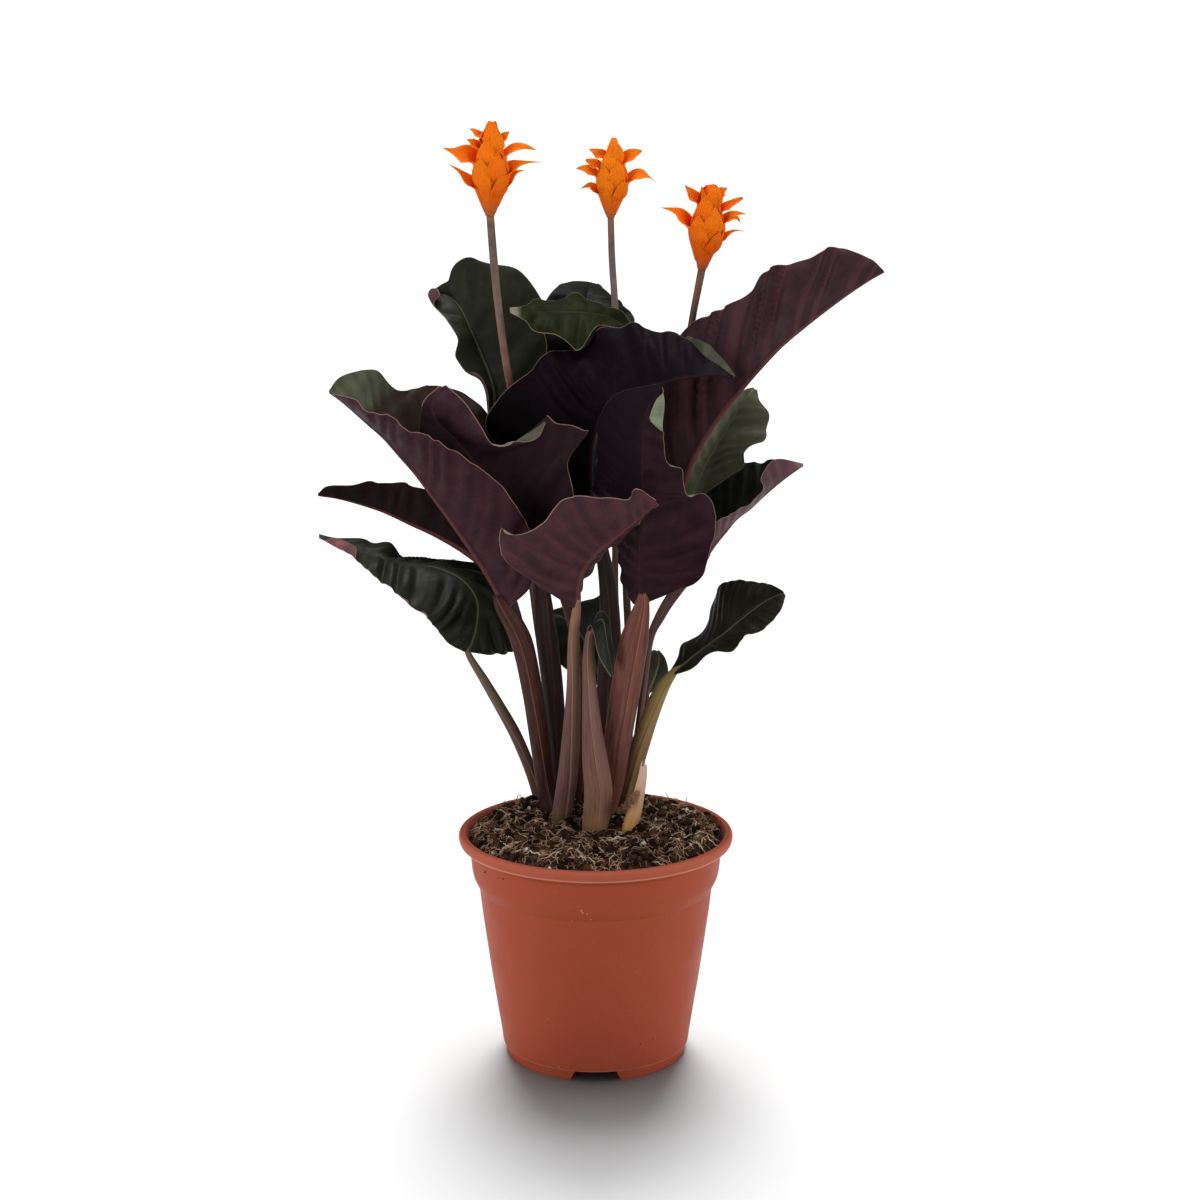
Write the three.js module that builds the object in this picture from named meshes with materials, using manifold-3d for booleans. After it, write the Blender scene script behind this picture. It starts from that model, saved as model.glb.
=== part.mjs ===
// Eternal flame calathea (Calathea crocata) growing in a round plastic nursery pot.
// Millimetres, +Z up, +X to the right, +Y to the back; the origin is the middle of the pot's base.
import * as THREE from 'three';
import { mergeVertices } from 'three/addons/utils/BufferGeometryUtils.js';
import Module from 'manifold-3d';

// ---- Driving dimensions ----

const GAP = 0.3; // clearance between touching pieces

const POT_WALL = 1.8;
const POT_FLOOR = 2;
const POT_BASE_RADIUS = 46.2;
const POT_RIM_RADIUS = 70;
const POT_RIM_HEIGHT = 117;
const POT_SEGMENTS = 44;
const NOTCH_COUNT = 3; // drainage arches pressed into the foot, one of them at the front
const NOTCH_WIDTH = 25.4; // at the ground; an arch narrows towards its top
const NOTCH_TOP_WIDTH = 20.6;
const NOTCH_HEIGHT = 5.4;
const NOTCH_DEPTH = 20;
const NOTCH_OVERHANG = 10; // how far the block that cuts an arch reaches past the wall
const DRAIN_HOLE_RADIUS = 3;
const DRAIN_HOLE_SIDES = 16;

// Outside of the pot as [radius, height]: foot, wall, step line, shoulder and rolled rim.
const POT_OUTSIDE = [[POT_BASE_RADIUS, 0], [47.4, 5.2], [48.8, 12], [53.8, 44], [58.2, 76], [59.4, 86.5],
  [62.6, 93.5], [63.4, 100], [64.2, 108.8], [67.3, 110.4], [69.2, 112], [POT_RIM_RADIUS, 114.2],
  [69.6, 116], [68.4, POT_RIM_HEIGHT]];
// Inside of the wall above the floor, up to where the rim opens.
const POT_INSIDE = [[51.9, 44], [56.3, 76], [57.7, 88], [60.8, 95], [62.2, 107.5]];
const POT_MOUTH_RADIUS = 65.2;

const SOIL_TOP = 119.5; // flat crown of the mounded soil, which carries every stem
const SOIL_CROWN_RADIUS = 51;
const SOIL_EDGE_HEIGHT = 114;
const SOIL_MOUND = [[63.5, SOIL_EDGE_HEIGHT], [61, 116.4], [57, 118.4], [SOIL_CROWN_RADIUS, SOIL_TOP]];

const BLADE_THICKNESS = 0.9;
const STEM_FLATNESS = 0.8; // depth over width of a sheathing stem
const STEM_SIDES = 8;
const STEM_RINGS = 9;
const BLADE_CLEARANCE = 1.5; // a leaf stalk stops this far short of its blade

const BRACT_THICKNESS = 0.8;
const BRACT_CLEARANCE = 1.1; // from the spike to where an outer bract starts
const BRACT_START = 0.5; // height of that place as a share of the bract's rise
const BRACT_TUCK = 0.25; // how far a bract's margins lean in and up, as shares of its half-width
const BRACT_LIFT = 0.3;
const SPIKE_SIDES = 10;

const MERGE_DISTANCE = 1e-4;

// The plant is laid out on a front elevation drawn in perspective. The eye stands EYE, looks down
// by ELEVATION_TILT, and the sheet hangs SHEET_DISTANCE in front of it. A point is written
// [u, v, y]: u across and v up on the sheet in millimetres, and y is how far back it lies.
const EYE = new THREE.Vector3(2.2, -1100, 464);
const ELEVATION_TILT = THREE.MathUtils.degToRad(11.68);
const SHEET_DISTANCE = 1123.5;

// ---- Leaves ----

// Each blade is a list of stations from its base to its tip. A station gives the keel (midrib),
// the near margin and the far margin. cup bows each half out of flat, towards the front when
// positive, as a share of its width.
const BLADES = {
  upper_left: {
    cup: 0.05,
    keel: [[-53.5, 86, 34], [-53, 103, 38], [-55.5, 113, 42], [-58.5, 120.5, 45], [-62, 129, 48],
      [-65.5, 137, 51], [-69, 144.5, 55], [-72.5, 149.5, 59], [-77, 152.5, 63], [-83.5, 153, 68]],
    near: [[-55.5, 86.5, 33], [-58.5, 107, 34], [-67, 114.5, 33], [-72.5, 121.5, 34], [-71, 131, 38],
      [-75.5, 138, 44], [-79, 142.5, 50], [-83, 147, 56], [-85, 150, 62], [-85, 152, 68]],
    far: [[-51.5, 86.5, 34], [-43, 106, 36], [-33, 117, 38], [-28, 132, 44], [-29, 150, 52],
      [-41, 165, 60], [-56, 168.5, 64], [-66, 171, 66], [-74, 161, 67], [-83.5, 154.5, 68]],
  },
  top_back: {
    cup: 0.04,
    keel: [[-2, 118, 60], [-5, 132, 66], [-7, 145, 74], [-6, 154, 84], [-4, 158, 96], [-2, 158, 107]],
    near: [[-8, 115, 60], [-31, 125, 60], [-31, 140, 66], [-24, 154.5, 76], [-14, 159, 92],
      [-3.5, 158.5, 107]],
    far: [[1, 118, 60], [12, 128, 66], [17.5, 141, 74], [11, 147.5, 84], [3, 155, 96],
      [-0.5, 158, 107]],
  },
  top_centre: {
    cup: 0.06,
    keel: [[20, 128, 41], [12, 137, 37], [3, 142, 34.5], [-6, 143.5, 32], [-14, 144, 29],
      [-22, 144, 26], [-30, 144, 22], [-38, 144.5, 18], [-45, 145, 14]],
    near: [[17.5, 126, 39], [10, 135.5, 24], [0, 137, 18], [-5.5, 132, 12], [-12, 125, 9],
      [-20, 131.5, 10], [-32, 134.5, 11], [-38, 140, 12], [-45, 143.8, 13.5]],
    far: [[22, 130, 43.5], [15, 139.5, 43], [7, 146, 42], [-3, 149.5, 47], [-13, 152.5, 52],
      [-22, 150, 46], [-30, 150.5, 36], [-38, 147, 24], [-45, 146.2, 14.5]],
  },
  crest: {
    cup: 0.04,
    keel: [[-4, 50, 17], [-5, 60, 13], [-5, 70, 9], [-4, 79.5, 5], [-1, 87, 1], [5, 94.5, -3],
      [12, 100.5, -7], [18, 103.5, -9], [24, 106, -10], [31, 108, -11], [38, 110, -12],
      [45, 111, -12], [52, 112, -12], [59, 112, -12], [66.5, 111, -12]],
    near: [[-7, 49.5, 18], [-30, 60, 16], [-56.5, 83, 12], [-51, 100, 15], [-37, 113, 16],
      [-26, 123.5, 16], [-11, 125, 16], [-1, 135.6, 15], [10, 136, 13], [18, 138.5, 12],
      [28, 134.7, 11], [38, 133.5, 9], [47, 126.5, 4], [57, 119, -3], [66.5, 112.5, -12]],
    far: [[-2, 50, 19], [3, 62, 28], [3, 75, 33], [1, 88, 35], [1, 98, 35], [7, 106, 34],
      [14, 111, 33], [21, 115, 31], [27, 119, 28], [33, 124, 25], [39, 130, 21], [45, 131.5, 16],
      [53, 128, 10], [62, 120, 2], [68, 112, -11]],
  },
  front_left: {
    cup: 0.06,
    keel: [[-48, -3, 8], [-53, 7, 6], [-61, 20, 3], [-72, 36, -2], [-83, 51, -7], [-92, 63, -12],
      [-100, 72, -17], [-108, 81, -22], [-116, 88, -28], [-124, 95, -34], [-130, 100, -39],
      [-135, 103.5, -44]],
    near: [[-45, -3.5, 5], [-34, 8, -4], [-33, 26, -10], [-41, 46, -17], [-57, 64, -24],
      [-73, 74, -30], [-84, 81.5, -34], [-95, 84, -38], [-103, 91, -42], [-116, 94, -44],
      [-122, 100, -45], [-134, 103, -45.5]],
    far: [[-47.5, -1, 11], [-44, 18, 19], [-45, 38, 24], [-48, 58, 24], [-50, 76, 22],
      [-55, 92, 21], [-68, 103, 18], [-84, 107.5, 12], [-101, 104.5, 3], [-112, 115, -9],
      [-129, 112, -24], [-135.5, 105, -43]],
  },
  inner_left: {
    cup: 0.03,
    keel: [[-29, 8, 14], [-33, 22, 10], [-39, 36, 7], [-45.5, 46, 4], [-52, 55, 1.5], [-58, 63, -1],
      [-65, 72, -4], [-72.5, 81, -6.5], [-80, 88.5, -9], [-84, 97, -11], [-79, 106.5, -10]],
    near: [[-26, 8.5, 12], [-14, 34, 0], [-13, 52, -7], [-16, 69, -11], [-6, 86, -14],
      [-25.5, 87.5, -16], [-37, 80, -17], [-50, 76.5, -18], [-58, 84, -18], [-67, 98, -16],
      [-77, 107.5, -10]],
    far: [[-31.5, 8, 14], [-38, 17, 12], [-46, 28, 9], [-54, 38, 6], [-62, 47, 3], [-69, 55, -0.5],
      [-77, 63, -4], [-84.5, 72, -8], [-90, 82, -12], [-89, 98, -13], [-80.5, 107, -10]],
  },
  front_right: {
    cup: 0.05,
    keel: [[21, -2, -8], [21, 8, -12], [21, 18, -17], [21, 28, -21], [21, 38, -25], [21, 48, -29],
      [21, 58, -33], [21, 68, -37], [21.5, 79, -40], [23, 92, -43], [30, 107, -46]],
    near: [[24.5, -1, -8], [39, 5, -6], [51, 12, -8], [56, 28, -14], [57.5, 43, -20],
      [51, 53.5, -26], [43, 57, -31], [40.5, 66, -36], [32.5, 73, -40], [30, 86, -44],
      [31, 106, -46]],
    far: [[16.5, -2, -7], [10.5, 7, 3], [6.5, 18, 8], [2, 30, 9], [-2, 43, 8], [-3, 55, 3],
      [-2, 66, -4], [-1, 78, -12], [-1, 91, -21], [9, 103.5, -34], [28.5, 108, -45.5]],
  },
  front_low: {
    cup: 0.06,
    keel: [[-12, -4, 2], [-11, 2, -2], [-10.5, 8, -6], [-9, 14, -10], [-6, 19, -14], [-1, 24.5, -19],
      [5, 29, -24], [11, 34, -29], [17, 39, -34], [23, 44, -39], [28.5, 48.5, -43.5]],
    near: [[-14.5, -3.5, 0], [-33, 9, -12], [-49, 22, -24], [-49, 36, -32], [-38, 34.5, -30],
      [-25, 43, -33], [-14, 52, -36], [2, 51, -40], [14, 50.5, -42], [18, 56, -46], [28, 50, -44]],
    far: [[-10, -4, 3.5], [-9.3, 2.5, 5], [-8.2, 9, 4], [-4.5, 15, 1], [0.5, 20, -4], [5.5, 27, -11],
      [12, 31, -16], [16.5, 36, -24], [20.5, 40, -31], [25, 44, -37], [29.5, 47.5, -42.5]],
  },
  low_left: {
    cup: 0.05,
    keel: [[-66, -26, 28], [-63, -18, 29], [-61.3, -9, 31], [-61.5, -1, 34], [-65, 6, 37],
      [-72, 12, 40], [-82, 16, 43], [-95, 18, 46], [-109, 20.5, 49], [-124, 25.5, 53],
      [-140.5, 32, 57]],
    near: [[-67.8, -26, 27], [-76, -21.5, 20], [-82, -14, 17], [-87, -8.5, 16], [-93, -4.5, 17],
      [-100, 2, 19], [-108, 8, 23], [-116, 14.5, 29], [-122, 20.5, 37], [-131, 25.5, 46],
      [-140.5, 31, 56]],
    far: [[-64, -26.2, 30], [-53, -27.5, 37], [-43, -25, 44], [-39, -12, 50], [-43, 6, 54],
      [-56, 15.5, 58], [-70, 20, 61], [-86, 18.7, 62], [-102, 26.5, 62], [-120, 31, 60],
      [-140.5, 33, 58]],
  },
  mid_left: {
    cup: 0.05,
    keel: [[-48, 8, 34], [-57, 15.5, 40], [-69, 24.5, 46], [-82, 32, 52], [-95, 38, 58],
      [-108, 44, 63], [-122, 48.5, 68], [-132, 51, 71], [-141, 52.3, 74]],
    near: [[-46, 10, 34], [-48, 24, 44], [-56, 38, 51], [-70, 49, 57], [-86, 54.5, 61],
      [-99, 58.5, 65], [-115, 59.5, 69], [-130, 57.5, 71], [-141, 53.3, 73]],
    far: [[-49, 10, 36], [-46, 22, 58], [-54, 34, 74], [-68, 44, 84], [-82, 49, 90], [-96, 53, 92],
      [-112, 55, 90], [-128, 55.5, 84], [-141, 53, 75.2]],
  },
  upper_right: {
    cup: 0.04,
    keel: [[36, 42, 12], [41.5, 56, 14], [46, 69, 15], [53, 81.5, 16], [61, 93, 16], [70, 104, 15],
      [80, 115.5, 14], [91, 127, 12], [103, 137, 10], [114, 145.5, 8], [125, 153.5, 5],
      [135, 160, 2], [142, 164, 0]],
    near: [[33.5, 43, 15], [28, 62, 27], [26, 82, 35], [27, 102, 39], [33, 122, 41], [46, 138, 40],
      [60, 145.5, 36], [75, 154, 31], [84, 165.5, 26], [104, 170.3, 20], [116, 176.5, 14],
      [134, 171.3, 7], [141.5, 165.2, 0]],
    far: [[38.5, 43.5, 15], [44, 61, 36], [48, 77, 52], [55, 92, 62], [64, 105, 68], [75, 116, 70],
      [86, 126, 68], [98, 136, 62], [109, 144.5, 53], [119, 151, 42], [128, 157, 28],
      [136, 161.5, 14], [142.3, 164.3, 1.6]],
  },
  mid_right: {
    cup: 0.05,
    keel: [[44, 48, 42], [48, 57, 47], [52, 66, 52], [57, 75, 57], [62, 83.5, 61], [66.5, 91, 65],
      [71, 98, 68], [74.5, 103, 71], [77.3, 105.5, 74]],
    near: [[46.5, 48.5, 40], [61, 59.5, 40], [71.5, 66, 44], [72.5, 75, 50], [82, 79.5, 56],
      [83.5, 86, 62], [84.5, 93, 66], [80, 99, 70], [78.6, 105, 73]],
    far: [[42, 49, 43], [43, 60, 56], [46, 69.5, 68], [51, 79, 78], [57, 88, 84], [62, 95, 87],
      [67, 101, 86], [72, 105, 82], [76.5, 106.3, 75]],
  },
  side_right: {
    cup: 0.04,
    keel: [[50, 18, 20], [57, 28, 24], [62.5, 34.5, 27], [68, 40.8, 30], [75, 46, 33],
      [81, 51.5, 35], [88, 57.5, 37], [95, 62.8, 39], [101.5, 67.2, 40]],
    near: [[48, 19.5, 18], [56.5, 37.5, 12], [61, 41, 12], [68.5, 44, 15], [76, 49.5, 18],
      [81.5, 56, 20], [81.5, 63.5, 23], [88, 70.5, 29], [101.5, 68.3, 39.2]],
    far: [[51, 20, 23], [50, 40, 40], [53, 54, 50], [60, 63, 57], [70, 67.5, 60], [76, 68.7, 60],
      [81, 68.7, 57], [87, 70.3, 51], [102, 67, 41.5]],
  },
  low_right: {
    cup: 0.06,
    keel: [[36, -36.5, 4], [43, -31, 0], [50, -25.5, -4], [56, -21, -8], [63, -16, -12],
      [71, -9.5, -16], [80, -2.5, -20], [87, 1.5, -23], [92, 3.3, -25]],
    near: [[37, -37.5, 2.5], [45, -34.8, -8], [51.5, -29.5, -16], [57, -26, -22], [67, -25, -28],
      [73, -18, -32], [82, -14.5, -34], [90, -6, -32], [92.8, 2.2, -26]],
    far: [[35, -35.5, 5.5], [38.8, -29, 10], [42, -21.5, 16], [51, -16, 18], [56, -5, 18],
      [60, 8, 13], [72, 9.3, 4], [84, 8.2, -9], [91.5, 4.6, -24]],
  },
  low_back: {
    cup: 0.04,
    keel: [[0, -42, 47], [-3, -30, 51], [-8, -20, 55], [-13, -13, 59], [-18, -9, 62],
      [-24, -6.5, 65]],
    near: [[-1.5, -42.5, 46.5], [-12, -37, 48], [-19, -33, 51], [-24, -25, 55], [-26, -14, 60],
      [-25, -7.5, 64]],
    far: [[2, -41.5, 48], [8, -20, 54], [6, 2.5, 58], [-4, 0.8, 62], [-15, -2.2, 65],
      [-24, -5, 66]],
  },
  young_front: {
    cup: 0.05,
    keel: [[-5, -16, 2], [-2, -11, -2], [1.5, -10, -6], [3, -18, -9], [4.5, -28, -11],
      [6.5, -38, -12]],
    near: [[-6.5, -15, 0], [-5, -12.5, -6], [-3, -17, -11], [-1.5, -25, -14], [2, -33, -15],
      [5.6, -38.5, -12.8]],
    far: [[-4, -15, 3.5], [-1, -6.5, 4], [4, -8, 2], [5.8, -17, -1], [6.8, -29, -5],
      [7.2, -38, -11]],
  },
  young_right: {
    cup: 0.04,
    keel: [[24, -46.5, 26], [26.5, -41, 29], [28.5, -35, 33], [29.5, -29.5, 38], [28.5, -25.5, 42]],
    near: [[23, -46, 25.5], [22, -38, 28], [22.5, -30, 33], [24.5, -26, 38], [27, -25, 42]],
    far: [[25, -46.8, 27], [30, -42, 31], [34, -37, 35], [33, -30, 40], [29.5, -25, 43]],
  },
};

// ---- Stems ----

// A stem stands on the soil at foot [x, y] with half-width footWidth, follows its via points
// [u, v, y, half-width] and ends at end, which for a leaf stalk is the blade's first keel point.
const LEAF_STALKS = {
  upper_left: { foot: [-13, 43], footWidth: 2, endWidth: 1.6,
    via: [[-19, -85, 44, 2], [-26, -45, 43, 2], [-31, -15, 42, 2], [-35, 15, 40, 2],
      [-41, 43, 38, 2], [-48, 67, 36, 1.8]] },
  top_back: { foot: [-1.5, 36.5], footWidth: 2, endWidth: 1.6,
    via: [[-0.5, -75, 37, 2], [0.5, -45, 38, 2], [1, -20, 40, 2], [2, 10, 45, 2], [2, 50, 51, 1.9],
      [0, 90, 56, 1.8]] },
  top_centre: { foot: [5.5, 41], footWidth: 2, endWidth: 1.5,
    via: [[9, -75, 41, 2], [12, -45, 40, 2], [14, -20, 40, 2], [13, 12, 41, 1.9],
      [15, 50, 42, 1.8], [18, 95, 42, 1.6]] },
  crest: { foot: [0.5, 22], footWidth: 3.6, endWidth: 2.2,
    via: [[1, -90, 22.5, 3.8], [1.5, -70, 22.5, 4.2], [3, -45, 21.5, 5], [5, -20, 20, 5.6],
      [4, 5, 19, 4.6], [0, 30, 18.5, 3]] },
  front_left: { foot: [-23, 22], footWidth: 5.8, endWidth: 4.4,
    via: [[-27, -92, 21.5, 5], [-30.2, -70, 18.5, 5.2], [-34, -45, 14.5, 5.3],
      [-39.6, -20, 11, 5.6]] },
  inner_left: { foot: [-15.5, 30.5], footWidth: 4.4, endWidth: 3.4,
    via: [[-18.5, -92, 30.5, 4.6], [-21.2, -70, 29.5, 4.8], [-23.6, -45, 26.5, 5.4],
      [-26.5, -20, 22.5, 5.8]] },
  front_right: { foot: [4, 9.5], footWidth: 5, endWidth: 3.6,
    via: [[6, -92, 8, 5.8], [8.8, -70, 5.5, 7], [12.6, -45, 1, 7.6], [17, -20, -4, 7.2]] },
  front_low: { foot: [-18, 8], footWidth: 5, endWidth: 2.2,
    via: [[-16.6, -90, 7, 5.2], [-14.8, -70, 6, 4.6], [-13.4, -45, 5, 3.6], [-13.2, -20, 3.5, 3]] },
  low_left: { foot: [-29.5, 37.5], footWidth: 3, endWidth: 1.6,
    via: [[-34.5, -86, 36, 3.1], [-42, -68, 34, 3.1], [-50, -53.5, 32, 2.8], [-58, -40, 30, 2.4]] },
  mid_left: { foot: [-20.5, 43], footWidth: 2, endWidth: 1.6,
    via: [[-28, -70, 38, 2], [-33, -45, 35, 2], [-38.5, -20, 33, 2]] },
  upper_right: { foot: [10, 22], footWidth: 2.2, endWidth: 1.8,
    via: [[10.5, -85, 22.5, 2.2], [12.5, -60, 21, 2.2], [15.5, -30, 18, 2.2], [20, 0, 15.5, 2.2],
      [28, 22, 13, 2]] },
  mid_right: { foot: [13, 38], footWidth: 2, endWidth: 1.6,
    via: [[14, -75, 38, 2], [15, -50, 36.5, 2], [18, -20, 36, 2], [22, 2, 36, 1.9],
      [33, 26, 38.5, 1.8]] },
  side_right: { foot: [17.5, 25], footWidth: 1.8, endWidth: 1.8,
    via: [[15.5, -88, 26, 1.8], [18.5, -68, 26, 1.8], [21.6, -45, 24, 1.7], [25, -20, 23, 1.8],
      [29.5, -9, 22, 2.6], [37, 3, 21, 3]] },
  low_right: { foot: [14.5, 14], footWidth: 4, endWidth: 2.2,
    via: [[15.8, -90, 13.5, 4.4], [20.8, -70, 11.5, 4.8], [29.5, -47, 8, 3.8]] },
  low_back: { foot: [-8, 41], footWidth: 2, endWidth: 1.4,
    via: [[-6, -85, 42.5, 2], [-3, -65, 45, 1.8]] },
  young_front: { foot: [-0.5, -8], footWidth: 6.6, endWidth: 2.2,
    via: [[-1, -96, -7.5, 7.2], [-2.4, -82, -7, 6.6], [-4, -66, -6, 5.2], [-5.3, -45, -4, 3.6],
      [-5.8, -28, -2, 3]] },
  young_right: { foot: [20.5, 30], footWidth: 1.6, endWidth: 1.2,
    via: [[21, -75, 29, 1.6], [22.5, -60, 27.5, 1.5]] },
};

// Bare stalks that carry the three flower heads.
const FLOWER_STALKS = {
  left: { foot: [-9.5, 36], footWidth: 2, endWidth: 1.9, end: [-55, 193, 28],
    via: [[-9.8, -80, 36.5, 2.1], [-9.8, -45, 36, 2.1], [-12.5, -20, 35.5, 2], [-21, 10, 34, 1.9],
      [-35, 60, 31.5, 1.8], [-45.3, 109, 28.5, 1.9], [-50, 140, 28, 1.9], [-53, 168, 28, 2]] },
  centre: { foot: [5.5, 33], footWidth: 2, endWidth: 1.6, end: [5.3, 192, 47],
    via: [[5.5, -75, 34.5, 1.8], [4, -45, 36, 1.7], [8, -20, 37, 1.7], [7.5, 10, 40, 1.7],
      [8, 50, 42.5, 1.7], [8.5, 100, 45, 1.7], [7.5, 145, 46, 1.7], [6, 170, 46.5, 1.7]] },
  right: { foot: [13, 31], footWidth: 2, endWidth: 2, end: [51, 166, 50],
    via: [[12.5, -75, 31.5, 1.8], [17, -45, 30.5, 1.8], [20.5, -20, 29.5, 1.7], [22, 20, 30, 1.7],
      [23.5, 50, 36, 1.7], [26.5, 75, 43, 1.7], [33, 98, 47, 1.7], [43, 126, 49, 1.7],
      [47.5, 148, 50, 1.8]] },
};

// A cut-off dry sheath at the front of the clump, torn to a point.
const DRY_STUB = { foot: [17.5, -13], footWidth: 4, endWidth: 0.7, end: [22, -79, -10],
  via: [[18.5, -106, -13, 4], [21, -96, -12, 2.6], [22, -88, -11, 1.6]] };

// ---- Flower heads ----

// Each head is a spike of bracts wrapped round an axis from base to top. The outer bracts open
// from the spike: azimuth about the axis (0 right, 90 back), reach and rise of the tip above the
// head's base, and half-width.
const FLOWER_HEADS = {
  left: {
    base: [-55, 193.4, 28], top: [-54, 238, 28], girth: 8,
    bracts: [
      { azimuth: 180, reach: 21, rise: 21.5, width: 5 },
      { azimuth: -2, reach: 25, rise: 26.5, width: 5 },
      { azimuth: 95, reach: 20, rise: 29, width: 5 },
      { azimuth: -56, reach: 15, rise: 20.5, width: 5 },
      { azimuth: 238, reach: 15, rise: 27, width: 5 },
    ],
  },
  centre: {
    base: [5.3, 192.4, 47], top: [7, 229.5, 47], girth: 7.2,
    bracts: [
      { azimuth: 182, reach: 15.6, rise: 14, width: 4.5 },
      { azimuth: -4, reach: 22, rise: 18, width: 5 },
      { azimuth: 92, reach: 15, rise: 24, width: 4.5 },
      { azimuth: -58, reach: 13, rise: 18, width: 4.2 },
      { azimuth: 238, reach: 13, rise: 24.5, width: 4.5 },
    ],
  },
  right: {
    base: [51, 166.4, 50], top: [56, 208, 50], girth: 7.8,
    bracts: [
      { azimuth: 182, reach: 24, rise: 27.3, width: 5 },
      { azimuth: -4, reach: 19, rise: 29, width: 5 },
      { azimuth: 95, reach: 18, rise: 28, width: 5 },
      { azimuth: -48, reach: 15, rise: 19.5, width: 5 },
      { azimuth: 238, reach: 15, rise: 26, width: 5 },
    ],
  },
};

// ---- Finishes ----

const finish = (color, roughness) => new THREE.MeshStandardMaterial({ color, roughness });
const TERRACOTTA = finish('#904332', 0.5);
const PEAT = finish('#2e2019', 1);
const LEAF_GREEN = finish('#31352a', 0.45);
const STEM = finish('#593c38', 0.5);
const STALK = finish('#685650', 0.55);
const DRY_SHEATH = finish('#a08a5a', 0.8);
const BRACT_ORANGE = finish('#e06108', 0.5);

// ---- Geometry helpers ----

// World point of [u, v, y].
function at([u, v, y]) {
  const sin = Math.sin(ELEVATION_TILT);
  const cos = Math.cos(ELEVATION_TILT);
  const ray = new THREE.Vector3(u, v * sin + SHEET_DISTANCE * cos, v * cos - SHEET_DISTANCE * sin);
  return ray.multiplyScalar((y - EYE.y) / ray.y).add(EYE);
}

function geometryOf(points, triangles) {
  const geometry = new THREE.BufferGeometry();
  geometry.setAttribute('position', new THREE.Float32BufferAttribute(points.flatMap((p) => p.toArray()), 3));
  geometry.setIndex(triangles.flat());
  return facingOut(geometry);
}

function signedVolume(geometry) {
  const position = geometry.attributes.position;
  const corner = (i) => new THREE.Vector3().fromBufferAttribute(position, geometry.index.getX(i));
  let volume = 0;
  for (let i = 0; i < geometry.index.count; i += 3) {
    volume += corner(i).dot(corner(i + 1).cross(corner(i + 2))) / 6;
  }
  return volume;
}

function facingOut(geometry) {
  if (signedVolume(geometry) < 0) {
    geometry.setIndex(Array.from(geometry.index.array).reverse());
  }
  return geometry;
}

// Closed sheet of even thickness about a grid of points, grid[row][column].
function sheet(grid, thickness) {
  const rows = grid.length;
  const columns = grid[0].length;
  const clampRow = (r) => THREE.MathUtils.clamp(r, 0, rows - 1);
  const clampColumn = (c) => THREE.MathUtils.clamp(c, 0, columns - 1);
  const normal = (r, c) => {
    const along = grid[clampRow(r + 1)][c].clone().sub(grid[clampRow(r - 1)][c]);
    const across = grid[r][clampColumn(c + 1)].clone().sub(grid[r][clampColumn(c - 1)]);
    return along.cross(across).normalize();
  };
  const points = [];
  for (const side of [0.5, -0.5]) {
    for (let r = 0; r < rows; r += 1) {
      for (let c = 0; c < columns; c += 1) {
        points.push(grid[r][c].clone().addScaledVector(normal(r, c), side * thickness));
      }
    }
  }
  const front = (r, c) => r * columns + c;
  const back = (r, c) => rows * columns + front(r, c);
  const triangles = [];
  const quad = (a, b, c, d) => triangles.push([a, b, c], [a, c, d]);
  for (let r = 0; r < rows - 1; r += 1) {
    for (let c = 0; c < columns - 1; c += 1) {
      quad(front(r, c), front(r, c + 1), front(r + 1, c + 1), front(r + 1, c));
      quad(back(r, c), back(r + 1, c), back(r + 1, c + 1), back(r, c + 1));
    }
    quad(front(r, 0), front(r + 1, 0), back(r + 1, 0), back(r, 0));
    quad(front(r + 1, columns - 1), front(r, columns - 1), back(r, columns - 1), back(r + 1, columns - 1));
  }
  for (let c = 0; c < columns - 1; c += 1) {
    quad(front(0, c + 1), front(0, c), back(0, c), back(0, c + 1));
    quad(front(rows - 1, c), front(rows - 1, c + 1), back(rows - 1, c + 1), back(rows - 1, c));
  }
  return geometryOf(points, triangles);
}

// Closed tube through rings of equally many points, capped by a fan at each end.
function tube(rings) {
  const sides = rings[0].length;
  const centre = (ring) => ring.reduce((sum, p) => sum.add(p), new THREE.Vector3()).divideScalar(sides);
  const points = [...rings.flat(), centre(rings[0]), centre(rings.at(-1))];
  const start = points.length - 2;
  const end = points.length - 1;
  const triangles = [];
  for (let side = 0; side < sides; side += 1) {
    const next = (side + 1) % sides;
    for (let ring = 0; ring < rings.length - 1; ring += 1) {
      const low = ring * sides;
      const high = low + sides;
      triangles.push([low + side, low + next, high + next], [low + side, high + next, high + side]);
    }
    const last = (rings.length - 1) * sides;
    triangles.push([start, next, side], [end, last + side, last + next]);
  }
  return geometryOf(points, triangles);
}

// Body of revolution about Z from a closed [radius, height] outline.
function turned(outline, segments) {
  const geometry = new THREE.LatheGeometry(outline.map(([r, z]) => new THREE.Vector2(r, z)), segments);
  geometry.rotateX(Math.PI / 2);
  geometry.deleteAttribute('normal');
  geometry.deleteAttribute('uv');
  return facingOut(withoutSlivers(mergeVertices(geometry, MERGE_DISTANCE)));
}

// The triangles that a lathe collapses on its axis are left out.
function withoutSlivers(geometry) {
  const index = Array.from(geometry.index.array);
  const kept = [];
  for (let i = 0; i < index.length; i += 3) {
    const [a, b, c] = index.slice(i, i + 3);
    if (a !== b && b !== c && c !== a) {
      kept.push(a, b, c);
    }
  }
  geometry.setIndex(kept);
  return geometry;
}

// ---- Booleans ----

const wasm = await Module();
wasm.setup();

function solidOf(geometry) {
  return new wasm.Manifold(new wasm.Mesh({
    numProp: 3,
    vertProperties: new Float32Array(geometry.attributes.position.array),
    triVerts: new Uint32Array(geometry.index.array),
  }));
}

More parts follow.
